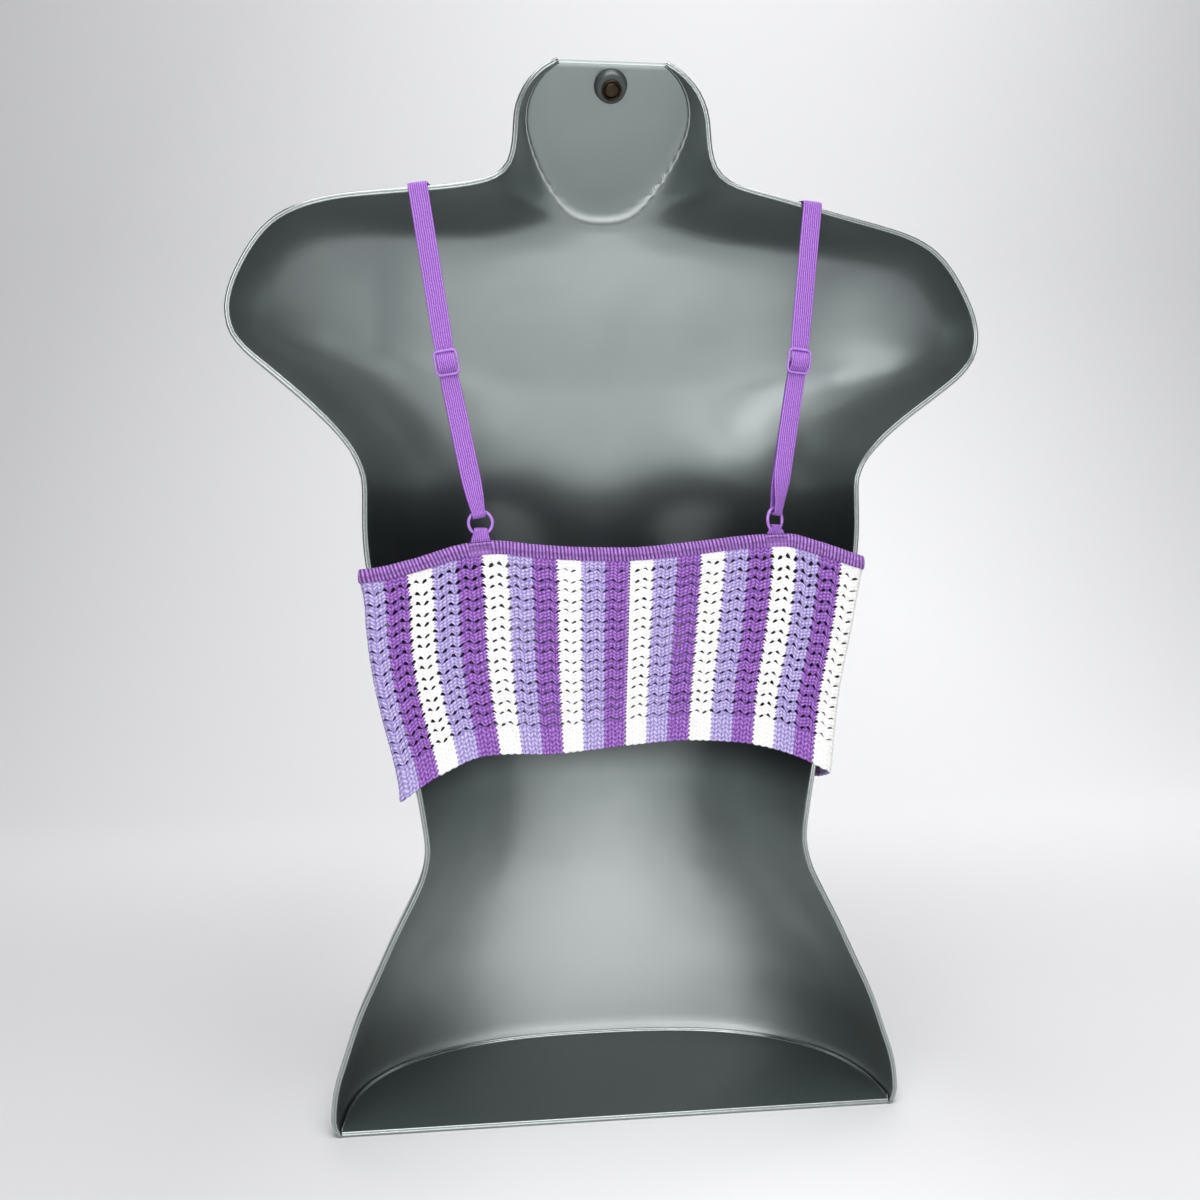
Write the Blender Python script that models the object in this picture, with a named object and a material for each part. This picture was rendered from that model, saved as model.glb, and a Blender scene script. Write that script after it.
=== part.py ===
"""Striped knit crop top worn on a hollow-back torso form that stands on its own base.

Sizes are millimetres, turned to metres as each mesh is made. +X points right for someone who looks
at the open back, +Y runs from the open back to the figure's front, and +Z is up. The rim of the
open back lies at depth 0 in the sizes below, and ORIGIN_DEPTH moves the origin under the middle.
"""
import math
from collections import namedtuple

import bmesh
import bpy
import numpy as np

METRES_PER_MM = 0.001
ORIGIN_DEPTH = 65.1
SEAM_GAP = 0.3

# ---------------------------------------------------------------- torso form
FORM_WALL = 3.0
FORM_TOP = 563.0
NECK_MIDDLE = 540.0
BASE_THICKNESS = 3.0
BASE_GAP = 0.45
FORM_COLUMNS = 29
OUTLINE_POINTS = 1127

FormSection = namedtuple("FormSection", "height half_width depth squareness")
FORM_SECTIONS = [
    FormSection(0.0, 149.8, 114.5, 2.50),
    FormSection(2.0, 152.4, 117.0, 2.50),
    FormSection(6.0, 153.9, 118.3, 2.50),
    FormSection(20.0, 152.9, 119.5, 2.48),
    FormSection(45.0, 145.8, 121.2, 2.42),
    FormSection(62.0, 140.0, 122.3, 2.38),
    FormSection(85.0, 129.6, 123.3, 2.32),
    FormSection(105.0, 120.4, 123.6, 2.28),
    FormSection(122.0, 111.8, 123.2, 2.25),
    FormSection(137.0, 105.1, 122.3, 2.25),
    FormSection(150.0, 102.8, 121.1, 2.25),
    FormSection(165.0, 104.5, 119.3, 2.27),
    FormSection(180.0, 106.8, 117.4, 2.30),
    FormSection(212.0, 112.8, 113.4, 2.34),
    FormSection(240.0, 117.4, 110.4, 2.36),
    FormSection(268.0, 121.6, 108.0, 2.36),
    FormSection(284.0, 126.2, 106.8, 2.34),
    FormSection(300.0, 131.3, 105.0, 2.32),
    FormSection(320.0, 132.6, 101.6, 2.30),
    FormSection(342.0, 132.3, 97.6, 2.28),
    FormSection(356.0, 136.6, 95.6, 2.24),
    FormSection(368.0, 145.4, 93.6, 2.20),
    FormSection(380.0, 159.2, 91.4, 2.16),
    FormSection(392.0, 175.4, 89.0, 2.14),
    FormSection(406.0, 192.4, 86.0, 2.12),
    FormSection(416.0, 198.6, 83.4, 2.12),
    FormSection(426.0, 200.0, 80.8, 2.12),
    FormSection(436.0, 198.2, 78.2, 2.12),
    FormSection(448.0, 193.2, 75.2, 2.12),
    FormSection(462.0, 184.8, 71.8, 2.12),
    FormSection(472.0, 175.4, 69.4, 2.12),
    FormSection(479.0, 163.0, 67.8, 2.12),
    FormSection(484.5, 145.0, 66.4, 2.10),
    FormSection(489.0, 121.0, 65.2, 2.08),
    FormSection(493.5, 95.0, 64.0, 2.06),
    FormSection(497.5, 75.5, 62.8, 2.04),
    FormSection(502.0, 62.0, 62.0, 2.00),
    FormSection(509.0, 55.2, 61.5, 2.00),
    FormSection(520.0, 52.8, 61.5, 2.00),
    FormSection(534.0, 51.8, 61.5, 2.00),
    FormSection(546.0, 47.8, 61.5, 2.00),
    FormSection(555.0, 41.0, 61.5, 2.00),
    FormSection(560.0, 35.0, 61.5, 2.00),
    FormSection(563.0, 29.0, 61.5, 2.00),
]

# The shoulders are not level: the left one is raised and the right one lowered. The change begins
# beyond a distance from the middle and above a height, and is whole after a further reach of each.
ShoulderLift = namedtuple("ShoulderLift", "rise from_side side_reach from_height height_reach")
LEFT_LIFT = ShoulderLift(5.4, 50.0, 110.0, 362.0, 48.0)
RIGHT_LIFT = ShoulderLift(-4.4, 75.0, 75.0, 338.0, 26.0)
LIFT_ROUNDS = 12

# The neck ends in a slanted cap, a plane that meets the rim plane at NECK_CREST and falls forwards.
NECK_CREST = 567.0
CAP_RUN_PER_DROP = 0.897
CAP_EDGE_BLEND = 4.0
BOSS_ALONG_CAP_DEPTH = 8.9
BOSS_RADIUS = 8.0
BOSS_LENGTH = 5.0
SCREW_RADIUS = 5.3
SCREW_LENGTH = 2.2

# The chest of a general figure: two soft mounds on the sections.
CHEST_SIDE = 62.0
CHEST_HEIGHT = 276.0
CHEST_RISE = 28.0
CHEST_WIDTH = 41.0
CHEST_REACH_UP = 52.0
CHEST_REACH_DOWN = 38.0

# ---------------------------------------------------------------- knit body
CLOTH_WALL = 1.4
BACK_OUT = 3.7
CORNER_RADIUS = 5.0
FRONT_EASE = 3.2
DRAPE_RISE = 29.1
DRAPE_REACH_DOWN = 105.0

# The section by which lengths round the sides and the front are shared out among the stripes.
CHEST_LEVEL = 262.0
CHEST_DEPTH = 106.0
CHEST_SQUARENESS = 2.34
TURN_STEPS = 400

# A place runs round the body: -1 and 1 are the left and right rims, and 0 is the middle of the back.
# Twenty-one stripes cross the back between the rims, and thirty go round the sides and the front.
STRIPE = 2.0 / 21.0
SIDE_SEAM = 1.0 + 4.0 * STRIPE
FRONT_MIDDLE = 1.0 + 15.0 * STRIPE
BACK_HALF_WIDTH = 134.0

BodyWidth = namedtuple("BodyWidth", "height left right")
BODY_WIDTHS = [
    BodyWidth(168.0, 115.5, 115.3),
    BodyWidth(182.0, 115.9, 116.0),
    BodyWidth(195.0, 118.0, 117.2),
    BodyWidth(210.0, 121.6, 118.7),
    BodyWidth(226.0, 125.4, 120.6),
    BodyWidth(240.0, 128.2, 123.0),
    BodyWidth(254.0, 130.2, 126.0),
    BodyWidth(268.0, 131.5, 128.8),
    BodyWidth(281.0, 132.3, 131.2),
    BodyWidth(291.0, 134.0, 133.2),
    BodyWidth(299.0, 134.9, 134.6),
    BodyWidth(320.0, 135.4, 135.4),
    BodyWidth(350.0, 136.0, 136.0),
]

BACK_PLACE_STEP = 0.11
FRONT_PLACE_STEP = 0.07
BACK_ROWS = 7
FRONT_ROWS = 10

BAND_HEIGHT = 7.6
BAND_SWELL = 0.6

EdgeHeight = namedtuple("EdgeHeight", "place band_top hem")
EDGE_HEIGHTS = [
    EdgeHeight(-FRONT_MIDDLE, 330.0, 183.0),
    EdgeHeight(-2.15, 332.0, 181.5),
    EdgeHeight(-1.96, 339.0, 179.5),
    EdgeHeight(-1.89, 344.8, 178.5),
    EdgeHeight(-1.84, 345.0, 178.5),
    EdgeHeight(-1.79, 344.8, 178.5),
    EdgeHeight(-1.72, 335.0, 177.0),
    EdgeHeight(-1.56, 314.5, 175.5),
    EdgeHeight(-SIDE_SEAM, 300.5, 173.5),
    EdgeHeight(-1.18, 296.6, 172.6),
    EdgeHeight(-1.00, 298.0, 176.0),
    EdgeHeight(-0.94, 298.9, 180.8),
    EdgeHeight(-0.81, 302.8, 189.6),
    EdgeHeight(-0.58, 311.2, 199.4),
    EdgeHeight(-0.48, 312.4, 199.9),
    EdgeHeight(-0.32, 310.2, 199.2),
    EdgeHeight(-0.14, 308.6, 200.8),
    EdgeHeight(0.03, 308.2, 202.9),
    EdgeHeight(0.30, 311.0, 204.7),
    EdgeHeight(0.54, 314.3, 203.0),
    EdgeHeight(0.67, 315.0, 200.2),
    EdgeHeight(0.82, 310.4, 194.6),
    EdgeHeight(0.95, 304.6, 187.6),
    EdgeHeight(1.00, 302.4, 184.2),
    EdgeHeight(1.18, 299.6, 178.0),
    EdgeHeight(SIDE_SEAM, 301.5, 177.0),
    EdgeHeight(1.56, 314.5, 177.0),
    EdgeHeight(1.72, 335.0, 178.0),
    EdgeHeight(1.79, 344.8, 179.5),
    EdgeHeight(1.84, 345.0, 179.5),
    EdgeHeight(1.89, 344.8, 179.5),
    EdgeHeight(1.96, 339.0, 180.5),
    EdgeHeight(2.15, 332.0, 182.0),
    EdgeHeight(FRONT_MIDDLE, 330.0, 183.0),
]

# ---------------------------------------------------------------- straps and their hardware
STRAP_THICKNESS = 0.9
STRAP_WIDTH = 10.4
STRAP_SLIDER_WIDTH = 9.5
STRAP_LOOP_WIDTH = 7.4
STRAP_CLEARANCE = 0.8
STRAP_FRONT_PLACE = 1.84
STRAP_SEAT_HALF = 0.05
SHOULDER_POINTS = 90
HALVINGS = 30
FREE_RISE = 12.0
SHOULDER_STATIONS = 34
CREST_RADIUS = 1.6
CREST_RUN = 0.6
SPAN_ROUNDS = 120
RING_WIRE_RADIUS = 0.85
RING_RADIUS = 6.25
RING_DEPTH = 0.3
RING_STEPS = 24
RING_SIDES = 8
LOOP_CENTRE_FROM_RING = 4.5
LOOP_SLACK = 0.25
BAR_SLACK = 0.15
BAR_RADIUS = 0.55
SLIDER_HALF_WIDTH = 6.5
SLIDER_HALF_HEIGHT = 6.9
SLIDER_DEPTH = -3.0
SHOULDER_OVER_SLIDER = 89.0
TAB_WIDTH = 11.6
TAB_END_BELOW_BAND_TOP = 11.0

StrapRoute = namedtuple("StrapRoute", "name side ring_x ring_z slider_x slider_z shoulder_x")
STRAP_ROUTES = [
    StrapRoute("left", -1, -71.6, 321.5, -88.0, 404.0, -101.4),
    StrapRoute("right", 1, 85.6, 322.2, 98.4, 406.4, 106.4),
]


# ---------------------------------------------------------------- tables as smooth curves
def column_of(table, name):
    """One named column of a table as an array."""
    return np.array([getattr(row, name) for row in table], dtype=float)


def curve_slopes(places, values):
    """Slopes of a curve through table points that never overshoots them."""
    steps = np.diff(places)
    rises = np.diff(values) / steps
    slopes = np.zeros(len(values))
    same_way = rises[:-1] * rises[1:] > 0
    before, after = rises[:-1][same_way], rises[1:][same_way]
    weight_before = (2.0 * steps[1:] + steps[:-1])[same_way]
    weight_after = (steps[1:] + 2.0 * steps[:-1])[same_way]
    inner = np.zeros(len(rises) - 1)
    inner[same_way] = (weight_before + weight_after) / (weight_before / before + weight_after / after)
    slopes[1:-1] = inner
    slopes[0], slopes[-1] = rises[0], rises[-1]
    return slopes


def curve_through(places, values, at):
    """Values at the places asked for, on a smooth curve through the given ones."""
    at = np.clip(np.asarray(at, dtype=float), places[0], places[-1])
    slopes = curve_slopes(places, values)
    row = np.clip(np.searchsorted(places, at, side="right") - 1, 0, len(places) - 2)
    step = places[row + 1] - places[row]
    part = (at - places[row]) / step
    rest = 1.0 - part
    return (values[row] * (1.0 + 2.0 * part) * rest ** 2 + slopes[row] * step * part * rest ** 2
            + values[row + 1] * (3.0 - 2.0 * part) * part ** 2
            - slopes[row + 1] * step * rest * part ** 2)


def along(table, place_name, value_name, at):
    """Value of a column at the places asked for, on a smooth curve through the table's rows."""
    return curve_through(column_of(table, place_name), column_of(table, value_name), at)


# ---------------------------------------------------------------- torso form
def grown_column(name, grow):
    """Heights and values of a form column moved outwards by a distance, square to its own curve."""
    heights = np.linspace(0.0, FORM_TOP, OUTLINE_POINTS)
    values = along(FORM_SECTIONS, "height", name, heights)
    rise, run = np.gradient(heights), np.gradient(values)
    length = np.hypot(rise, run)
    moved_heights = heights - grow * run / length
    moved_values = values + grow * rise / length
    order = np.argsort(moved_heights)
    return moved_heights[order], moved_values[order]


def chest(side, height, reach_down):
    """Depth that the two soft chest mounds add."""
    reach = np.where(height > CHEST_HEIGHT, CHEST_REACH_UP, reach_down)
    level = np.exp(-((height - CHEST_HEIGHT) / reach) ** 2)
    across = (np.exp(-((side - CHEST_SIDE) / CHEST_WIDTH) ** 2)
              + np.exp(-((side + CHEST_SIDE) / CHEST_WIDTH) ** 2))
    return CHEST_RISE * level * across


def blended_least(first, second, blend):
    """The smaller of two values with a rounded change from one to the other."""
    near = np.clip(blend - np.abs(first - second), 0.0, None) / blend
    return np.minimum(first, second) - near ** 2 * blend / 4.0


def gentle_step(distance, reach):
    """Rises from 0 to 1 over a reach, level at both ends."""
    part = np.clip(distance / reach, 0.0, 1.0)
    return part * part * (3.0 - 2.0 * part)


def shoulder_lift(side, height):
    """How far a point of the form is raised over the same point of an even figure."""
    total = 0.0
    for sign, lift in ((-1.0, LEFT_LIFT), (1.0, RIGHT_LIFT)):
        total = total + (lift.rise * gentle_step(sign * side - lift.from_side, lift.side_reach)
                         * gentle_step(height - lift.from_height, lift.height_reach))
    return total


class FormSurface:
    """The form's outer face moved outwards by grow, or inwards where grow is negative."""

    def __init__(self, grow):
        self.grow = grow
        self.width_curve = grown_column("half_width", grow)
        self.depth_curve = grown_column("depth", grow)

    def half_width(self, height):
        return np.interp(height, *self.width_curve)

    def cap_depth(self, height):
        slant = math.hypot(1.0, CAP_RUN_PER_DROP)
        return (NECK_CREST - height) * CAP_RUN_PER_DROP + self.grow * slant

    def depth_at(self, side, height):
        """Depth of the face at a distance from the middle plane and a height."""
        level = height - shoulder_lift(side, height)
        squareness = along(FORM_SECTIONS, "height", "squareness", level)
        share = np.clip(np.abs(side) / self.half_width(level), 0.0, 1.0)
        rounding = (1.0 - share ** squareness) ** (1.0 / squareness)
        depth = np.interp(level, *self.depth_curve) * rounding
        depth = depth + chest(side, level, CHEST_REACH_DOWN) * (1.0 - share ** 4)
        return np.clip(blended_least(depth, self.cap_depth(height), CAP_EDGE_BLEND), 0.0, None)

    def section(self, level):
        """Points round one level, from the left rim over the front to the right rim."""
        turn = np.linspace(math.pi, 0.0, FORM_COLUMNS)
        squareness = float(along(FORM_SECTIONS, "height", "squareness", level))
        side = np.sign(np.cos(turn)) * np.abs(np.cos(turn)) ** (2.0 / squareness)
        side = side * self.half_width(level)
        height = np.full_like(side, level)
        for _ in range(LIFT_ROUNDS):
            height = level + shoulder_lift(side, height)
        depth = self.depth_at(side, height)
        depth[0] = depth[-1] = 0.0
        return np.stack([side, depth, height], axis=1)


def shell_heights():
    """Heights of the outer rows and of the inner rows that lie square behind them."""
    outer = column_of(FORM_SECTIONS, "height")
    nudge = 0.25
    run = (along(FORM_SECTIONS, "height", "half_width", outer + nudge)
           - along(FORM_SECTIONS, "height", "half_width", outer - nudge))
    squeezed = (FORM_TOP - FORM_WALL - NECK_MIDDLE) / (FORM_TOP - NECK_MIDDLE)
    inner = np.where(outer > NECK_MIDDLE, NECK_MIDDLE + (outer - NECK_MIDDLE) * squeezed,
                     outer + FORM_WALL * run / np.hypot(run, 2.0 * nudge))
    inner[0] = 0.0
    return outer, inner


def build_form(plastic):
    outer_heights, inner_heights = shell_heights()
    outer_face, inner_face = FormSurface(0.0), FormSurface(-FORM_WALL)
    outer = np.stack([outer_face.section(height) for height in outer_heights])
    inner = np.stack([inner_face.section(height) for height in inner_heights])
    wall_object("form_shell", outer, inner, plastic)

    plate_face = FormSurface(-FORM_WALL - BASE_GAP)
    underside = plate_face.section(0.0)
    topside = plate_face.section(BASE_THICKNESS)
    narrower = np.minimum(np.abs(topside[:, :2]), np.abs(underside[:, :2]))
    topside[:, :2] = narrower * np.sign(underside[:, :2])
    prism_object("form_base", underside, topside, plastic)


def build_neck_fitting(plastic, metal):
    """Round boss on the inside of the slanted cap, with the end of the screw that it holds."""
    inner_cap = FormSurface(-FORM_WALL - SEAM_GAP)
    inset = inner_cap.grow * math.hypot(1.0, CAP_RUN_PER_DROP)
    height = NECK_CREST - (BOSS_ALONG_CAP_DEPTH - inset) / CAP_RUN_PER_DROP
    seat = np.array([0.0, BOSS_ALONG_CAP_DEPTH, height])
    inwards = -np.array([0.0, 1.0, CAP_RUN_PER_DROP]) / math.hypot(1.0, CAP_RUN_PER_DROP)
    across = np.array([1.0, 0.0, 0.0])
    up = np.cross(inwards, across)
    rod_object("neck_boss", seat, inwards, across, up, BOSS_RADIUS, BOSS_LENGTH, 24, plastic)
    screw_seat = seat + inwards * (BOSS_LENGTH + SEAM_GAP)
    rod_object("neck_screw", screw_seat, inwards, across, up, SCREW_RADIUS, SCREW_LENGTH, 16, metal)


# ---------------------------------------------------------------- knit body
def turns_by_length():
    """Turn angles of a side-and-front section at even steps of length from the rim to the middle."""
    turn = np.linspace(0.0, math.pi / 2.0, TURN_STEPS)
    side = BACK_HALF_WIDTH * np.cos(turn) ** (2.0 / CHEST_SQUARENESS)
    depth = CHEST_DEPTH * np.sin(turn) ** (2.0 / CHEST_SQUARENESS)
    depth = depth + (chest(side, CHEST_LEVEL, CHEST_REACH_DOWN)
                     * (1.0 - (side / BACK_HALF_WIDTH) ** 4))
    length = np.concatenate([[0.0], np.cumsum(np.hypot(np.diff(side), np.diff(depth)))])
    return length / length[-1], turn


def drape(side, height, half_width):
    """Depth that the cloth keeps over the chest: it hangs from it and spans the middle."""
    beyond = np.clip(np.abs(side) - CHEST_SIDE, 0.0, None)
    across = np.exp(-(beyond / CHEST_WIDTH) ** 2)
    reach = np.where(height > CHEST_HEIGHT, CHEST_REACH_UP, DRAPE_REACH_DOWN)
    level = np.exp(-((height - CHEST_HEIGHT) / reach) ** 2)
    share = np.clip(np.abs(side) / half_width, 0.0, 1.0)
    return DRAPE_RISE * level * across * (1.0 - share ** 4)


def body_points(place, height, out):
    """Points of the knit body. out = 0 is its outer face, and -CLOTH_WALL is its inner face."""
    place, height = np.broadcast_arrays(np.asarray(place, float), np.asarray(height, float))
    middle = FRONT_MIDDLE
    place = np.where(place > middle, place - 2.0 * middle, place)
    left = along(BODY_WIDTHS, "height", "left", height)
    right = along(BODY_WIDTHS, "height", "right", height)
    half_width = np.where(place < 0.0, left, right) + out
    reach = np.abs(place)
    flat_share = 1.0 - CORNER_RADIUS / half_width
    turn = np.clip((reach - flat_share) / (1.0 - flat_share), 0.0, 1.0) * math.pi / 2.0
    back_side = np.where(reach < flat_share, reach * half_width,
                         flat_share * half_width + CORNER_RADIUS * np.sin(turn))
    back_depth = -(BACK_OUT + out) * np.cos(turn)

    share_length, share_turn = turns_by_length()
    front_turn = np.interp((reach - 1.0) / (middle - 1.0), share_length, share_turn)
    squareness = along(FORM_SECTIONS, "height", "squareness", height)
    front_side = half_width * np.cos(front_turn) ** (2.0 / squareness)
    front_depth = along(FORM_SECTIONS, "height", "depth", height) + FRONT_EASE + out
    front_depth = front_depth * np.sin(front_turn) ** (2.0 / squareness)
    front_depth = front_depth + drape(front_side, height, half_width)

    on_back = reach <= 1.0
    side = np.where(on_back, back_side, front_side) * np.where(place < 0.0, -1.0, 1.0)
    depth = np.where(on_back, back_depth, front_depth)
    return np.stack([side, depth, height], axis=-1)


def wrapped(place):
    """A place past the middle of the front, as the same place counted from the other side."""
    place = np.asarray(place, float)
    return np.where(place > FRONT_MIDDLE, place - 2.0 * FRONT_MIDDLE, place)


def band_top(place):
    return along(EDGE_HEIGHTS, "place", "band_top", wrapped(place))


def band_bottom(place):
    """Lower edge of the band, which is as tall square to its run at every place."""
    nudge = 0.01
    slope = (band_top(place + nudge) - band_top(place - nudge)) / (2.0 * nudge * BACK_HALF_WIDTH)
    return band_top(place) - BAND_HEIGHT * np.hypot(1.0, slope)


def hem(place):
    return along(EDGE_HEIGHTS, "place", "hem", wrapped(place))


def places_between(first, last, step):
    """Places from first to last, with more where the cloth turns round a rim or seats a strap."""
    corner = np.array([-1.0, -0.988, -0.974, -0.958, 0.958, 0.974, 0.988, 1.0])
    seat = STRAP_FRONT_PLACE + np.array([-STRAP_SEAT_HALF, 0.0, STRAP_SEAT_HALF])
    needed = np.concatenate([corner, seat, 2.0 * FRONT_MIDDLE - seat])
    count = int(round((last - first) / step))
    even = np.linspace(first, last, count + 1)
    inside = needed[(needed > first) & (needed < last)]
    clear = np.all(np.abs(even[:, None] - inside[None, :]) > 0.3 * step, axis=1)
    clear = clear | (even == first) | (even == last)
    return np.sort(np.concatenate([even[clear], inside]))


def build_panel(name, places, rows, yarn):
    """One knit panel, a wall of even thickness from the hem to just under the band."""
    low = hem(places)
    high = band_bottom(places) - SEAM_GAP
    shares = np.linspace(0.0, 1.0, rows + 1)[:, None]
    heights = low + (high - low) * shares
    outer = body_points(places[None, :], heights, 0.0)
    inner = body_points(places[None, :], heights, -CLOTH_WALL)
    wall_object(name, outer, inner, yarn)


def build_band(name, places, yarn):
    """Ribbed top band, fuller in the middle of its height than at its edges."""
    low, high = band_bottom(places), band_top(places)
    shares = np.array([0.0, 0.16, 0.5, 0.84, 1.0])[:, None]
    swell = BAND_SWELL * (1.0 - np.abs(2.0 * shares - 1.0) ** 2.5)
    heights = low + (high - low) * shares
    outer = body_points(places[None, :], heights, 0.0)
    inner = body_points(places[None, :], heights, -CLOTH_WALL)
    thickness = (outer - inner) / np.linalg.norm(outer - inner, axis=-1, keepdims=True)
    outer = outer + thickness * swell[..., None]
    inner = inner - thickness * 0.5 * swell[..., None]
    wall_object(name, outer, inner, yarn)


def build_body(panel_yarn, band_yarn):
    half_gap = 0.5 * SEAM_GAP / BACK_HALF_WIDTH
    back = (-SIDE_SEAM + half_gap, SIDE_SEAM - half_gap)
    front = (SIDE_SEAM + half_gap, 2.0 * FRONT_MIDDLE - SIDE_SEAM - half_gap)
    back_places = places_between(*back, BACK_PLACE_STEP)
    front_places = places_between(*front, FRONT_PLACE_STEP)
    build_panel("back_panel", back_places, BACK_ROWS, panel_yarn)
    build_panel("front_panel", front_places, FRONT_ROWS, panel_yarn)
    build_band("band_back", back_places, band_yarn)
    build_band("band_front", front_places, band_yarn)


# ---------------------------------------------------------------- straps, rings, sliders and tabs
def arc_points(centre, radius, start_degrees, end_degrees, count):
    """(along, out) points on an arc, with angles measured from the along direction."""
    angles = np.radians(np.linspace(start_degrees, end_degrees, count))
    return [(centre[0] + radius * math.cos(a), centre[1] + radius * math.sin(a)) for a in angles]


def smooth_route(points, pieces):
    """Points on a smooth curve through route points, with a few pieces between each two."""
    points = np.asarray(points, dtype=float)
    length = np.concatenate([[0.0], np.cumsum(np.linalg.norm(np.diff(points, axis=0), axis=1))])
    numbers = np.arange(pieces * (len(points) - 1) + 1) / pieces
    at = np.interp(numbers, np.arange(len(points)), length)
    return np.stack([curve_through(length, values, at) for values in points.T], axis=1)


def shoulder_run(route, surface):
    """Strap points from the front band over the shoulder to the rim, lying on a grown form face."""
    seat = route.side * STRAP_FRONT_PLACE
    front_end = body_points(seat, band_top(seat), -0.5 * CLOTH_WALL)
    points = []
    for depth in np.linspace(front_end[1], 0.0, SHOULDER_POINTS):
        side = route.shoulder_x + (front_end[0] - route.shoulder_x) * depth / front_end[1]
        low, high = CHEST_HEIGHT, FORM_TOP
        for _ in range(HALVINGS):
            level = 0.5 * (low + high)
            if surface.depth_at(side, level) > depth:
                low = level
            else:
                high = level
        points.append([side, depth, low])
    start = front_end + np.array([0.0, 0.0, 2.5 * SEAM_GAP])
    above = [point for point in points if point[2] > start[2] + FREE_RISE]
    return spanned(even_steps(np.array([start] + above), SHOULDER_STATIONS))


def even_steps(points, count):
    """The same line with its points at even steps of length."""
    length = np.concatenate([[0.0], np.cumsum(np.linalg.norm(np.diff(points, axis=0), axis=1))])
    even = np.linspace(0.0, length[-1], count)
    return np.stack([np.interp(even, length, points[:, axis]) for axis in range(3)], axis=1)


def spanned(points):
    """A taut strap's points: those that would sink into a hollow are lifted to a straight span."""
    lifted = points.copy()
    for _ in range(SPAN_ROUNDS):
        middle = 0.5 * (lifted[:-2] + lifted[2:])
        sunk = middle[:, 1] > lifted[1:-1, 1]
        lifted[1:-1][sunk] = middle[sunk]
    return lifted


def strap_stations(route):
    """Centre points and widths of one strap from its front end to its sewn loop on the slider."""
    half = 0.5 * STRAP_THICKNESS
    clear = STRAP_CLEARANCE + half
    over = shoulder_run(route, FormSurface(clear))
    crest = over[-1]
    corner = [crest - np.array([0.0, CREST_RADIUS * math.sin(bend) + CREST_RUN,
                                CREST_RADIUS * (1.0 - math.cos(bend))])
              for bend in np.radians([30.0, 60.0, 90.0])]
    stations = [(point, STRAP_WIDTH) for point in list(over) + corner]

    slider = np.array([route.slider_x, SLIDER_DEPTH, route.slider_z])
    upwards = corner[-1] - slider
    upwards[1] = 0.0
    upwards = upwards / np.linalg.norm(upwards)
    ring = np.array([route.ring_x, RING_DEPTH, route.ring_z])
    downwards = ring - slider
    fall = np.linalg.norm(downwards)
    downwards = downwards / fall

    bar_clear = BAR_RADIUS + SEAM_GAP + half + BAR_SLACK
    layer = STRAP_THICKNESS + SEAM_GAP
    bar = SLIDER_HALF_HEIGHT - BAR_RADIUS
    over_loop = bar_clear + layer
    ring_clear = RING_WIRE_RADIUS + SEAM_GAP + half + LOOP_SLACK
    turn = fall - LOOP_CENTRE_FROM_RING
    weave = [(-bar - 4.0, -bar_clear + 0.1), (-bar, -bar_clear), (-bar + 2.4, 0.2), (-2.2, over_loop - 0.5),
             (0.0, over_loop), (2.6, over_loop - 0.4), (bar - 2.0, 0.4), (bar, -bar_clear),
             (bar + 3.5, -bar_clear + 0.5)]
    weave += [(turn - 22.0, 0.5 * layer + 0.3), (turn - 10.0, ring_clear - 0.1), (turn - 4.0, ring_clear),
              (turn - 1.3, ring_clear)]
    weave += arc_points((turn, 0.0), ring_clear, 90.0, -90.0, 7)
    weave += [(turn - 1.3, -ring_clear), (turn - 4.0, -ring_clear), (turn - 10.0, -ring_clear),
              (turn - 22.0, -0.5 * layer - 0.5),
              (bar + 6.0, -bar_clear - 0.6 * layer), (bar, -bar_clear - layer),
              (bar - 2.8, -bar_clear - 0.7 * layer), (2.2, -bar_clear)]
    weave += arc_points((0.0, 0.0), bar_clear, -90.0, -270.0, 7)
    weave += [(1.7, bar_clear - 0.05)]
    widths = ((-bar - 6.0, -bar, bar, bar + 8.0, turn - 14.0, turn - 2.0),
              (STRAP_WIDTH, STRAP_SLIDER_WIDTH, STRAP_SLIDER_WIDTH, STRAP_WIDTH, STRAP_WIDTH,
               STRAP_LOOP_WIDTH))
    for distance, out in smooth_route(weave, 2):
        direction = downwards if distance > 0.0 else -upwards
        point = slider + direction * distance + np.array([0.0, -out, 0.0])
        width = np.interp(distance, *widths)
        stations.append((point, width))
    return stations


def build_straps(yarn, gloss):
    for route in STRAP_ROUTES:
        stations = strap_stations(route)
        points = np.array([point for point, _ in stations])
        widths = np.array([width for _, width in stations])
        ribbon_object("strap_" + route.name, points, widths, across_directions(points, route),
                      STRAP_THICKNESS, yarn)
        build_ring(route, gloss)
        build_slider(route, gloss)
        build_tab(route, yarn)


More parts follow.
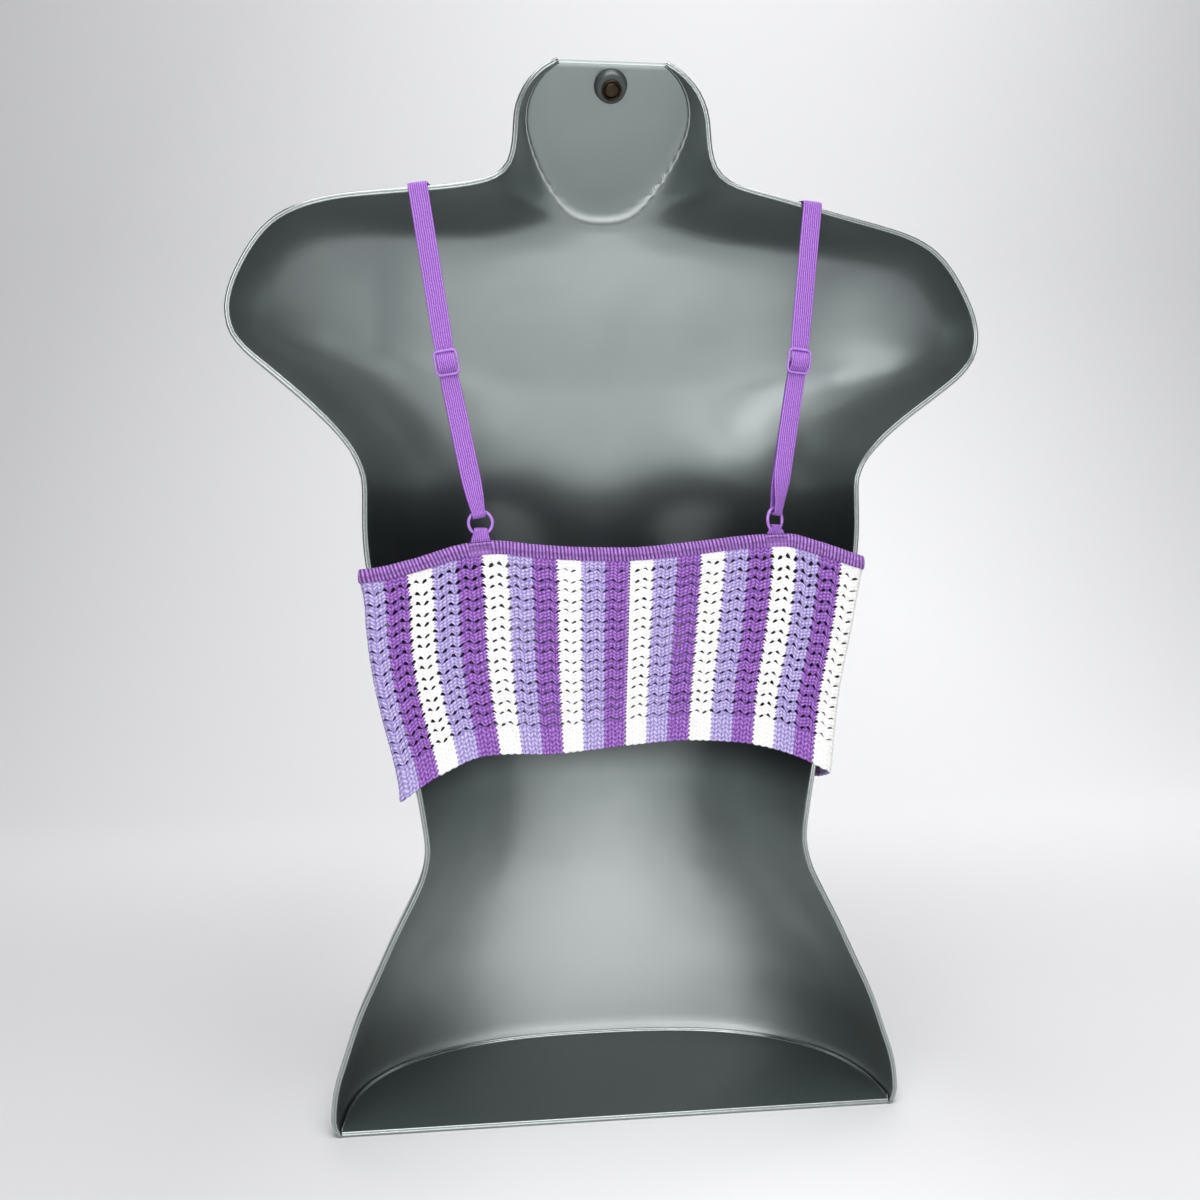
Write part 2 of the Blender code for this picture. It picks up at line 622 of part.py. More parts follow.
def across_directions(points, route):
    """Unit width directions at strap points: level on the back, turned with the form elsewhere."""
    surface = FormSurface(STRAP_CLEARANCE)
    nudge = 0.4
    directions = []
    back_run = np.array([route.shoulder_x - route.slider_x, 0.0, SHOULDER_OVER_SLIDER])
    level = np.cross(np.array([0.0, -1.0, 0.0]), back_run)
    level = level / np.linalg.norm(level)
    if level[0] < 0.0:
        level = -level
    last = None
    for index, point in enumerate(points):
        tangent = points[min(index + 1, len(points) - 1)] - points[max(index - 1, 0)]
        tangent = tangent / np.linalg.norm(tangent)
        if point[1] > 1.0 and point[2] > 330.0:
            height, side = point[2] - 0.6, point[0]
            slope_side = (surface.depth_at(side + nudge, height)
                          - surface.depth_at(side - nudge, height)) / (2.0 * nudge)
            slope_up = (surface.depth_at(side, height + nudge)
                        - surface.depth_at(side, height - nudge)) / (2.0 * nudge)
            outwards = np.array([-float(slope_side), 1.0, -float(slope_up)])
            direction = np.cross(outwards, tangent)
            direction = direction / np.linalg.norm(direction)
            if direction[0] < 0.0:
                direction = -direction
        else:
            direction = level - tangent * float(level @ tangent)
            direction = direction / np.linalg.norm(direction)
        if last is not None and direction @ last < 0.0:
            direction = -direction
        last = direction
        directions.append(direction)
    return np.array(directions)


def build_ring(route, gloss):
    """Round ring between a strap's loop and its tab."""
    steps, sides = RING_STEPS, RING_SIDES
    vertices, faces = [], []
    for step in range(steps):
        turn = 2.0 * math.pi * step / steps
        for side in range(sides):
            bend = 2.0 * math.pi * side / sides
            radius = RING_RADIUS + RING_WIRE_RADIUS * math.cos(bend)
            vertices.append((route.ring_x + radius * math.cos(turn),
                             RING_DEPTH + RING_WIRE_RADIUS * math.sin(bend),
                             route.ring_z + radius * math.sin(turn)))
            after, next_step = (side + 1) % sides, (step + 1) % steps
            faces.append((step * sides + side, step * sides + after,
                          next_step * sides + after, next_step * sides + side))
    mesh_object("ring_" + route.name, vertices, faces, gloss)


def build_slider(route, gloss):
    """Strap adjuster: a small frame with a bar across its middle."""
    lean = 0.5 * (math.atan2(route.slider_x - route.shoulder_x, SHOULDER_OVER_SLIDER)
                  + math.atan2(route.ring_x - route.slider_x, route.slider_z - route.ring_z))
    wire = 2.0 * BAR_RADIUS
    sides = [-SLIDER_HALF_WIDTH, -SLIDER_HALF_WIDTH + wire, SLIDER_HALF_WIDTH - wire, SLIDER_HALF_WIDTH]
    levels = [-SLIDER_HALF_HEIGHT, -SLIDER_HALF_HEIGHT + wire, -BAR_RADIUS, BAR_RADIUS,
              SLIDER_HALF_HEIGHT - wire, SLIDER_HALF_HEIGHT]
    vertices, faces = [], []
    for depth in (-BAR_RADIUS, BAR_RADIUS):
        for level in levels:
            for side in sides:
                turned_x = side * math.cos(lean) - level * math.sin(lean)
                turned_z = side * math.sin(lean) + level * math.cos(lean)
                vertices.append((route.slider_x + turned_x, SLIDER_DEPTH + depth,
                                 route.slider_z + turned_z))
    windows = {(1, 1), (1, 3)}
    across, up = len(sides), len(levels)
    filled = {(i, k) for i in range(across - 1) for k in range(up - 1)} - windows
    for column, row in filled:
        corner = row * across + column
        front = (corner, corner + 1, corner + 1 + across, corner + across)
        faces.append(front)
        faces.append(tuple(index + across * up for index in reversed(front)))
        for (next_column, next_row), (start, end) in (((column, row - 1), (0, 1)),
                                                      ((column + 1, row), (1, 2)),
                                                      ((column, row + 1), (2, 3)),
                                                      ((column - 1, row), (3, 0))):
            if (next_column, next_row) not in filled:
                first, second = front[start], front[end]
                faces.append((second, first, first + across * up, second + across * up))
    frame = mesh_object("slider_" + route.name, vertices, faces, gloss)
    rounding = frame.modifiers.new("rounded wire", "BEVEL")
    rounding.width = 0.3 * METRES_PER_MM
    rounding.segments = 1
    rounding.limit_method = "ANGLE"


def build_tab(route, yarn):
    """Short folded strap end that holds the ring and is sewn behind the band."""
    half = 0.5 * STRAP_THICKNESS
    ring_clear = RING_WIRE_RADIUS + SEAM_GAP + half
    place = route.ring_x / BACK_HALF_WIDTH
    top = float(band_top(place))
    behind_band = -(BACK_OUT - CLOTH_WALL - 0.5 * BAND_SWELL) + SEAM_GAP + half
    second_layer = behind_band + STRAP_THICKNESS + SEAM_GAP
    turn = route.ring_z - LOOP_CENTRE_FROM_RING
    run = [(top - TAB_END_BELOW_BAND_TOP, behind_band), (top - 4.0, behind_band),
           (turn - 1.5, RING_DEPTH - ring_clear)]
    run += [(turn + out, RING_DEPTH - along_turn) for along_turn, out in
            arc_points((0.0, 0.0), ring_clear, 0.0, 180.0, 7)]
    run += [(turn - 3.0, RING_DEPTH + ring_clear), (top - 2.0, second_layer + 0.3),
            (top - 6.0, second_layer), (top - TAB_END_BELOW_BAND_TOP, second_layer)]
    route_points = smooth_route(run, 2)
    points = np.array([(route.ring_x, depth, height) for height, depth in route_points])
    narrowing = np.clip((points[:, 2] - top) / (turn - top), 0.0, 1.0)
    widths = TAB_WIDTH + (STRAP_LOOP_WIDTH - TAB_WIDTH) * narrowing
    across = np.tile(np.array([1.0, 0.0, 0.0]), (len(points), 1))
    ribbon_object("tab_" + route.name, points, widths, across, STRAP_THICKNESS, yarn)


# ---------------------------------------------------------------- mesh makers
def mesh_object(name, vertices, faces, material):
    """A named object from points in millimetres, with its faces turned outwards."""
    metres = [(x * METRES_PER_MM, (y - ORIGIN_DEPTH) * METRES_PER_MM, z * METRES_PER_MM)
              for x, y, z in vertices]
    mesh = bpy.data.meshes.new(name)
    mesh.from_pydata(metres, [], faces)
    shape = bmesh.new()
    shape.from_mesh(mesh)
    bmesh.ops.recalc_face_normals(shape, faces=shape.faces)
    if shape.calc_volume(signed=True) < 0.0:
        bmesh.ops.reverse_faces(shape, faces=shape.faces)
    shape.to_mesh(mesh)
    shape.free()
    mesh.materials.append(material)
    made = bpy.data.objects.new(name, mesh)
    bpy.context.scene.collection.objects.link(made)
    return made


def grid_faces(rows, columns, first):
    """Four-sided faces of a grid of points whose first point has the given number."""
    faces = []
    for row in range(rows - 1):
        for column in range(columns - 1):
            corner = first + row * columns + column
            faces.append((corner, corner + 1, corner + columns + 1, corner + columns))
    return faces


def wall_object(name, outer, inner, material):
    """A closed wall between two grids of points, joined along their four edges."""
    rows, columns = outer.shape[:2]
    count = rows * columns
    vertices = np.concatenate([outer.reshape(-1, 3), inner.reshape(-1, 3)])
    faces = grid_faces(rows, columns, 0)
    faces += [tuple(reversed(face)) for face in grid_faces(rows, columns, count)]
    edge = list(range(columns))
    edge += [row * columns + columns - 1 for row in range(1, rows)]
    edge += [(rows - 1) * columns + column for column in range(columns - 2, -1, -1)]
    edge += [row * columns for row in range(rows - 2, 0, -1)]
    for first, second in zip(edge, edge[1:] + edge[:1]):
        faces.append((first, first + count, second + count, second))
    return mesh_object(name, vertices.tolist(), faces, material)


def prism_object(name, lower, upper, material):
    """A plate between two outlines with the same number of points."""
    count = len(lower)
    faces = [tuple(range(count)), tuple(range(2 * count - 1, count - 1, -1))]
    for first in range(count):
        second = (first + 1) % count
        faces.append((first, first + count, second + count, second))
    return mesh_object(name, np.concatenate([lower, upper]).tolist(), faces, material)


def rod_object(name, seat, inwards, across, up, radius, length, sides, material):
    """A round rod that starts at its seat and has a small chamfer at its free end."""
    chamfer = 0.12 * radius
    rings = []
    for distance, reach in ((0.0, radius), (length - chamfer, radius), (length, radius - chamfer)):
        for side in range(sides):
            turn = 2.0 * math.pi * side / sides
            outwards = across * math.cos(turn) + up * math.sin(turn)
            rings.append(seat + inwards * distance + outwards * reach)
    faces = [tuple(range(sides)), tuple(range(3 * sides - 1, 2 * sides - 1, -1))]
    for level in range(2):
        for side in range(sides):
            after = (side + 1) % sides
            faces.append((level * sides + side, (level + 1) * sides + side,
                          (level + 1) * sides + after, level * sides + after))
    return mesh_object(name, rings, faces, material)


def ribbon_object(name, points, widths, across, thickness, material):
    """A flat band of even thickness along a route of centre points."""
    tangents = np.gradient(points, axis=0)
    tangents = tangents / np.linalg.norm(tangents, axis=1, keepdims=True)
    across = across - tangents * np.sum(across * tangents, axis=1, keepdims=True)
    across = across / np.linalg.norm(across, axis=1, keepdims=True)
    outwards = np.cross(tangents, across)
    half_width = across * widths[:, None] * 0.5
    half_thick = outwards * thickness * 0.5
    corners = np.stack([points - half_width - half_thick, points + half_width - half_thick,
                        points + half_width + half_thick, points - half_width + half_thick], axis=1)
    faces = [(3, 2, 1, 0)]
    for station in range(len(points) - 1):
        for corner in range(4):
            after = (corner + 1) % 4
            first = station * 4
            faces.append((first + corner, first + after, first + 4 + after, first + 4 + corner))
    last = (len(points) - 1) * 4
    faces.append((last, last + 1, last + 2, last + 3))
    return mesh_object(name, corners.reshape(-1, 3).tolist(), faces, material)


def surface_material(name, red, green, blue, roughness, metallic):
    """A plain material from linear colour values."""
    material = bpy.data.materials.new(name)
    material.use_nodes = True
    shader = material.node_tree.nodes["Principled BSDF"]
    shader.inputs["Base Color"].default_value = (red, green, blue, 1.0)
    shader.inputs["Roughness"].default_value = roughness
    shader.inputs["Metallic"].default_value = metallic
    material.diffuse_color = (red, green, blue, 1.0)
    return material


for old in list(bpy.data.objects):
    bpy.data.objects.remove(old, do_unlink=True)

form_plastic = surface_material("grey gloss plastic", 0.070, 0.078, 0.082, 0.28, 0.0)
screw_metal = surface_material("dull brass", 0.180, 0.110, 0.060, 0.35, 1.0)
striped_knit = surface_material("striped knit yarn", 0.560, 0.420, 0.780, 0.85, 0.0)
purple_rib = surface_material("purple rib knit", 0.310, 0.110, 0.560, 0.80, 0.0)
purple_gloss = surface_material("purple coated metal", 0.330, 0.170, 0.620, 0.30, 0.0)

build_form(form_plastic)
build_neck_fitting(form_plastic, screw_metal)
build_body(striped_knit, purple_rib)
build_straps(purple_rib, purple_gloss)
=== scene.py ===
"""A striped openwork knit crop top on the hollow-back torso form that it is shown on."""
import math

import bpy
import numpy as np
from mathutils import Matrix, Vector


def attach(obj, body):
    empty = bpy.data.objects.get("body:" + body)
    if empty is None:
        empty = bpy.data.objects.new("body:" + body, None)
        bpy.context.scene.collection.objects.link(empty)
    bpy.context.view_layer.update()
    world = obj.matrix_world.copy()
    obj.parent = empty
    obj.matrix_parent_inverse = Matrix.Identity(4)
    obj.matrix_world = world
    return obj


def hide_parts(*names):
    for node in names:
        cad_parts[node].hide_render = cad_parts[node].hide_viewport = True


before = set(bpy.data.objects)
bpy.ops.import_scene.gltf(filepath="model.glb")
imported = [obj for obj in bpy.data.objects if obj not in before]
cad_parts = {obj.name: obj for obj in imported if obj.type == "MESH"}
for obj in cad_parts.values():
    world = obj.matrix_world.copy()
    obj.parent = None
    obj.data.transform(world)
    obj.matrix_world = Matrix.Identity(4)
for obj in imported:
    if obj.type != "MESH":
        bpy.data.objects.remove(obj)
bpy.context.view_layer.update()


# ============================================================ torso form
# The form is a hollow half torso, vacuum-formed or moulded in dark grey polystyrene about 3 mm thick.
# Its back is open, with a narrow beaded rim, and a slanted oval cap closes the neck.
METRES = 0.001
RIM_BACK = 65.1                                    # mm from the rim of the open back to the origin
FORM_WALL = 3.0
NECK_CREST, CAP_RUN_PER_DROP, CAP_EDGE_BLEND, CREASE_HALF_WIDTH = 567.0, 0.897, 4.5, 0.9
CHEST_SIDE, CHEST_HEIGHT, CHEST_RISE = 62.0, 276.0, 28.0
CHEST_WIDTH, CHEST_REACH_UP, CHEST_REACH_DOWN = 41.0, 52.0, 38.0
LEFT_SHOULDER_UP, RIGHT_SHOULDER_DOWN = 5.4, 4.4

# height, half width, depth, squareness of the outline
FORM_SECTIONS = np.array([
    (0.0, 149.8, 114.5, 2.50), (2.0, 152.4, 117.0, 2.50), (6.0, 153.9, 118.3, 2.50),
    (20.0, 152.9, 119.5, 2.48), (45.0, 145.8, 121.2, 2.42), (62.0, 140.0, 122.3, 2.38),
    (85.0, 129.6, 123.3, 2.32), (105.0, 120.4, 123.6, 2.28), (122.0, 111.8, 123.2, 2.25),
    (137.0, 105.1, 122.3, 2.25), (150.0, 102.8, 121.1, 2.25), (165.0, 104.5, 119.3, 2.27),
    (180.0, 106.8, 117.4, 2.30), (212.0, 112.8, 113.4, 2.34), (240.0, 117.4, 110.4, 2.36),
    (268.0, 121.6, 108.0, 2.36), (284.0, 126.2, 106.8, 2.34), (300.0, 131.3, 105.0, 2.32),
    (320.0, 132.6, 101.6, 2.30), (342.0, 132.3, 97.6, 2.28), (356.0, 136.6, 95.6, 2.24),
    (368.0, 145.4, 93.6, 2.20), (380.0, 159.2, 91.4, 2.16), (392.0, 175.4, 89.0, 2.14),
    (406.0, 192.4, 86.0, 2.12), (416.0, 198.6, 83.4, 2.12), (426.0, 200.0, 80.8, 2.12),
    (436.0, 198.2, 78.2, 2.12), (448.0, 193.2, 75.2, 2.12), (462.0, 184.8, 71.8, 2.12),
    (472.0, 175.4, 69.4, 2.12), (479.0, 163.0, 67.8, 2.12), (484.5, 145.0, 66.4, 2.10),
    (489.0, 121.0, 65.2, 2.08), (493.5, 95.0, 64.0, 2.06), (497.5, 75.5, 62.8, 2.04),
    (502.0, 62.0, 62.0, 2.00), (509.0, 55.2, 61.5, 2.00), (520.0, 52.8, 61.5, 2.00),
    (534.0, 51.8, 61.5, 2.00), (546.0, 47.8, 61.5, 2.00), (555.0, 41.0, 61.5, 2.00),
    (560.0, 35.0, 61.5, 2.00), (563.0, 29.0, 61.5, 2.00)])


def curve_through(places, values, at):
    """Cubic pieces through the given points, with slopes that are a weighted harmonic mean of the
    chords on either side, or zero at a turning point, so that the curve never overshoots."""
    steps = np.diff(places)
    rises = np.diff(values) / steps
    same_way = rises[:-1] * rises[1:] > 0
    before, after = (np.where(same_way, chord, 1.0) for chord in (rises[:-1], rises[1:]))
    weight_before, weight_after = 2.0 * steps[1:] + steps[:-1], steps[1:] + 2.0 * steps[:-1]
    mean = (weight_before + weight_after) / (weight_before / before + weight_after / after)
    slopes = np.concatenate([rises[:1], np.where(same_way, mean, 0.0), rises[-1:]])
    at = np.clip(np.asarray(at, float), places[0], places[-1])
    row = np.clip(np.searchsorted(places, at, side="right") - 1, 0, len(places) - 2)
    part = (at - places[row]) / steps[row]
    rest = 1.0 - part
    return (values[row] * (1.0 + 2.0 * part) * rest ** 2 + slopes[row] * steps[row] * part * rest ** 2
            + values[row + 1] * (3.0 - 2.0 * part) * part ** 2
            - slopes[row + 1] * steps[row] * rest * part ** 2)


def softened(values, spread):
    """Running average with Gaussian weights, the ends carried on as a mirror image turned over."""
    reach = int(4 * spread)
    weights = np.exp(-0.5 * (np.arange(-reach, reach + 1) / spread) ** 2)
    padded = np.pad(values, reach, mode="reflect", reflect_type="odd")
    return np.convolve(padded, weights / weights.sum(), mode="valid")


def signed_power(values, power):
    """Values raised to a power, with their signs kept."""
    return np.sign(values) * np.abs(values) ** power


def unit(vectors):
    """The same directions with a length of 1."""
    return vectors / np.linalg.norm(vectors, axis=-1, keepdims=True)


def square_across(points, across):
    """Unit directions: the given ones less their part along the line of points."""
    tangent = unit(np.gradient(points, axis=0))
    return unit(across - tangent * np.sum(across * tangent, axis=1, keepdims=True))


def lengths_along(points):
    """How far each point of a line is from the first, along the line."""
    return np.concatenate([[0.0], np.cumsum(np.linalg.norm(np.diff(points, axis=0), axis=1))])


def evenly(points, count, endpoint=True):
    """A line of points drawn again with a count of points at even steps."""
    length = lengths_along(points)
    even = np.linspace(0.0, length[-1], count, endpoint=endpoint)
    return np.stack([np.interp(even, length, column) for column in points.T], axis=-1)


# The table's four columns as smooth curves over the length of the side outline, half a millimetre apart.
fine_heights = np.linspace(0.0, FORM_SECTIONS[-1, 0], 4505)
fine_columns = [curve_through(FORM_SECTIONS[:, 0], column, fine_heights) for column in FORM_SECTIONS.T]
outline_length = np.concatenate([[0.0], np.cumsum(np.hypot(np.diff(fine_columns[0]),
                                                           np.diff(fine_columns[1])))])
even_length = np.arange(0.0, outline_length[-1], 0.5)
outline = [softened(np.interp(even_length, outline_length, column), 6.0) for column in fine_columns]


def grown_outline(column, grow):
    """Heights and values of one outline curve moved by grow millimetres, square to the curve."""
    rise, run = np.gradient(outline[0]), np.gradient(outline[column])
    length = np.hypot(rise, run)
    return outline[0] - grow * run / length, outline[column] + grow * rise / length


def chest(side, height, reach_down):
    """Two bell-shaped mounds side by side: rise x exp(-height²) x the sum of exp(-side²)."""
    reach = np.where(height > CHEST_HEIGHT, CHEST_REACH_UP, reach_down)
    level = np.exp(-((height - CHEST_HEIGHT) / reach) ** 2)
    across = (np.exp(-((side - CHEST_SIDE) / CHEST_WIDTH) ** 2)
              + np.exp(-((side + CHEST_SIDE) / CHEST_WIDTH) ** 2))
    return CHEST_RISE * level * across


def gentle_step(distance, reach):
    """Rises from 0 to 1 over a reach, level at both ends: 3 part² - 2 part³."""
    part = np.clip(distance / reach, 0.0, 1.0)
    return part * part * (3.0 - 2.0 * part)


def shoulder_lift(side, height):
    """The shoulders are not level: the left one is 5.4 mm up and the right one 4.4 mm down, which
    begins beyond a distance from the middle and above a height."""
    left = gentle_step(-side - 50.0, 110.0) * gentle_step(height - 362.0, 48.0)
    right = gentle_step(side - 75.0, 75.0) * gentle_step(height - 338.0, 26.0)
    return LEFT_SHOULDER_UP * left - RIGHT_SHOULDER_DOWN * right


def form_depth(side, height, grow):
    """Depth of the form's face: a superellipse of side against depth, with the chest mounds added,
    and then the lesser of that and the slanted plane of the neck cap, rounded where they meet."""
    level = height - shoulder_lift(side, height)
    widths, depths = grown_outline(1, grow), grown_outline(2, grow)
    order, depth_order = np.argsort(widths[0]), np.argsort(depths[0])
    half_width = np.interp(level, widths[0][order], widths[1][order])
    deepest = np.interp(level, depths[0][depth_order], depths[1][depth_order])
    squareness = np.interp(level, outline[0], outline[3])
    share = np.clip(np.abs(side) / half_width, 0.0, 1.0)
    depth = deepest * (1.0 - share ** squareness) ** (1.0 / squareness)
    depth = depth + chest(side, level, CHEST_REACH_DOWN) * (1.0 - share ** 4)
    cap = (NECK_CREST - height) * CAP_RUN_PER_DROP + grow * math.hypot(1.0, CAP_RUN_PER_DROP)
    near = np.clip(CAP_EDGE_BLEND - np.abs(depth - cap), 0.0, None) / CAP_EDGE_BLEND
    return np.clip(np.minimum(depth, cap) - near ** 2 * CAP_EDGE_BLEND / 4.0, 0.0, None)


def form_face(grow, rows, columns):
    """Grid of points on the form's face: one row for each place along the side outline, and in a row
    x = half width x cos(turn)^(2 / squareness) from the left rim over the front to the right rim."""
    levels, half_widths = (curve[rows][:, None] for curve in grown_outline(1, grow))
    turn = np.linspace(math.pi, 0.0, columns)[None, :]
    squareness = np.interp(levels, outline[0], outline[3])
    side = signed_power(np.cos(turn), 2.0 / squareness) * half_widths
    heights = np.broadcast_to(levels, side.shape)
    for _ in range(12):
        heights = levels + shoulder_lift(side, heights)
    depth = form_depth(side, heights, grow)
    depth[:, [0, -1]] = 0.0
    return np.stack([side, depth, heights], axis=-1)


def grid_quads(rows, columns, closed_round=False):
    """Four corner numbers of every face in a grid of points, wound so that a grid that runs from left
    to right and downwards, seen from in front, faces the front."""
    row = np.arange(rows - 1)[:, None]
    column = np.arange(columns if closed_round else columns - 1)[None, :]
    after = (column + 1) % columns
    quads = np.stack([row * columns + column, (row + 1) * columns + column,
                      (row + 1) * columns + after, row * columns + after], axis=-1)
    return quads.reshape(-1, 4)


def strip_quads(rows, columns):
    """Faces of a tube of points, each of its two ends closed by a ladder of quads from side to side."""
    first = np.arange(columns // 2 - 1)
    end = np.stack([first, first + 1, columns - 2 - first, columns - 1 - first], axis=-1)
    return np.concatenate([grid_quads(rows, columns, closed_round=True), end[:, ::-1],
                           end + (rows - 1) * columns])


def rim_quads(faces, inner_start):
    """Faces that close the open edges between an outer skin and the inner skin that copies it: an edge
    is open where no other face runs along it the other way."""
    corners = faces.shape[1]
    starts, ends = [], []
    for corner in range(corners):
        start, end = faces[:, corner], faces[:, (corner + 1) % corners]
        last = (end < 0)
        end = np.where(last, faces[:, 0], end)
        real = start >= 0
        starts.append(start[real])
        ends.append(end[real])
    starts, ends = np.concatenate(starts), np.concatenate(ends)
    many = int(max(starts.max(), ends.max())) + 1
    is_open = ~np.isin(starts * many + ends, ends * many + starts)
    first, second = starts[is_open], ends[is_open]
    return np.stack([second, first, first + inner_start, second + inner_start], axis=-1)


def piece_from(name, points, faces, material, uv=None, **numbers):
    """A smooth mesh object from points in millimetres (x, depth, height) and faces of four corners,
    of which the last is -1 on a triangle. Points that no face uses are left out."""
    used, renumbered = np.unique(faces[faces >= 0], return_inverse=True)
    sizes = (faces >= 0).sum(axis=1)
    corners = renumbered.astype(np.int32)
    place = (points[used] - np.array([0.0, RIM_BACK, 0.0])) * METRES
    mesh = bpy.data.meshes.new(name)
    mesh.vertices.add(len(used))
    mesh.vertices.foreach_set("co", place.ravel())
    mesh.loops.add(len(corners))
    mesh.loops.foreach_set("vertex_index", corners)
    mesh.polygons.add(len(faces))
    mesh.polygons.foreach_set("loop_start", (np.cumsum(sizes) - sizes).astype(np.int32))
    mesh.polygons.foreach_set("use_smooth", np.ones(len(faces), bool))
    if uv is not None:
        layer = mesh.uv_layers.new(name="cloth")
        layer.data.foreach_set("uv", uv[used][corners].ravel())
    for label, values in numbers.items():
        attribute = mesh.attributes.new(label, "FLOAT", "POINT")
        attribute.data.foreach_set("value", values[used].astype(np.float32))
    mesh.update(calc_edges=True)
    mesh.validate()
    mesh.materials.append(material)
    made = bpy.data.objects.new(name, mesh)
    bpy.context.scene.collection.objects.link(made)
    return made


def linear(colour):
    """An sRGB hex colour as linear red, green, blue and a full alpha."""
    values = [int(colour[place:place + 2], 16) / 255.0 for place in (1, 3, 5)]
    return tuple(v / 12.92 if v <= 0.04045 else ((v + 0.055) / 1.055) ** 2.4 for v in values) + (1.0,)


def new_material(name):
    """An empty node material with its shader."""
    material = bpy.data.materials.new(name)
    material.use_nodes = True
    return material, material.node_tree, material.node_tree.nodes["Principled BSDF"]


def add(tree, kind, inputs=(), **settings):
    """One node with its settings. inputs gives pairs of a socket and a value, or another's output."""
    node = tree.nodes.new("ShaderNode" + kind)
    for setting, value in settings.items():
        setattr(node, setting, value)
    for socket, value in inputs:
        if isinstance(value, bpy.types.NodeSocket):
            tree.links.new(value, node.inputs[socket])
        else:
            node.inputs[socket].default_value = value
    return node


def maths(tree, operation, *values):
    """The result of one step of arithmetic."""
    return add(tree, "Math", list(enumerate(values)), operation=operation).outputs[0]


def ranged(tree, value, start, end, low=0.0, high=1.0, kind="LINEAR"):
    """A value carried over from start..end to low..high, and held at low or high beyond them."""
    return add(tree, "MapRange", [("Value", value), ("From Min", start), ("From Max", end), ("To Min", low),
                                  ("To Max", high)], interpolation_type=kind).outputs[0]


def eased(tree, value, start, end, low=0.0, high=1.0):
    """The same as ranged, with a level start and end."""
    return ranged(tree, value, start, end, low, high, "SMOOTHSTEP")


def noise(tree, where, scale, detail):
    """A cloudy value about 0.5."""
    return add(tree, "TexNoise", [("Vector", where), ("Scale", scale), ("Detail", detail)]).outputs["Fac"]


def distance_from(tree, where, shift, scale):
    """Length of the place scaled and then shifted on each axis."""
    moved = add(tree, "Mapping", [("Vector", where), ("Location", shift), ("Scale", scale)])
    return add(tree, "VectorMath", [(0, moved.outputs["Vector"])], operation="LENGTH").outputs["Value"]


def two_tone(tree, value, first, second, start=0.0, end=1.0):
    """A colour that goes from the first hex colour at start to the second at end."""
    node = add(tree, "ValToRGB", [("Fac", value)])
    for element, colour, position in zip(node.color_ramp.elements, (first, second), (start, end)):
        element.position = position
        element.color = linear(colour)
    return node.outputs["Color"]


def blend(tree, share, first, second):
    """A share of the second colour laid over the first."""
    return add(tree, "Mix", [(0, share), (6, first), (7, second)], data_type="RGBA").outputs[2]


def bumped(tree, height, distance, strength, under=None):
    """The surface's direction with a relief on it, and on top of another relief if one is given."""
    node = add(tree, "Bump", [("Height", height), ("Distance", distance), ("Strength", strength)])
    if under is not None:
        tree.links.new(under, node.inputs["Normal"])
    return node.outputs["Normal"]


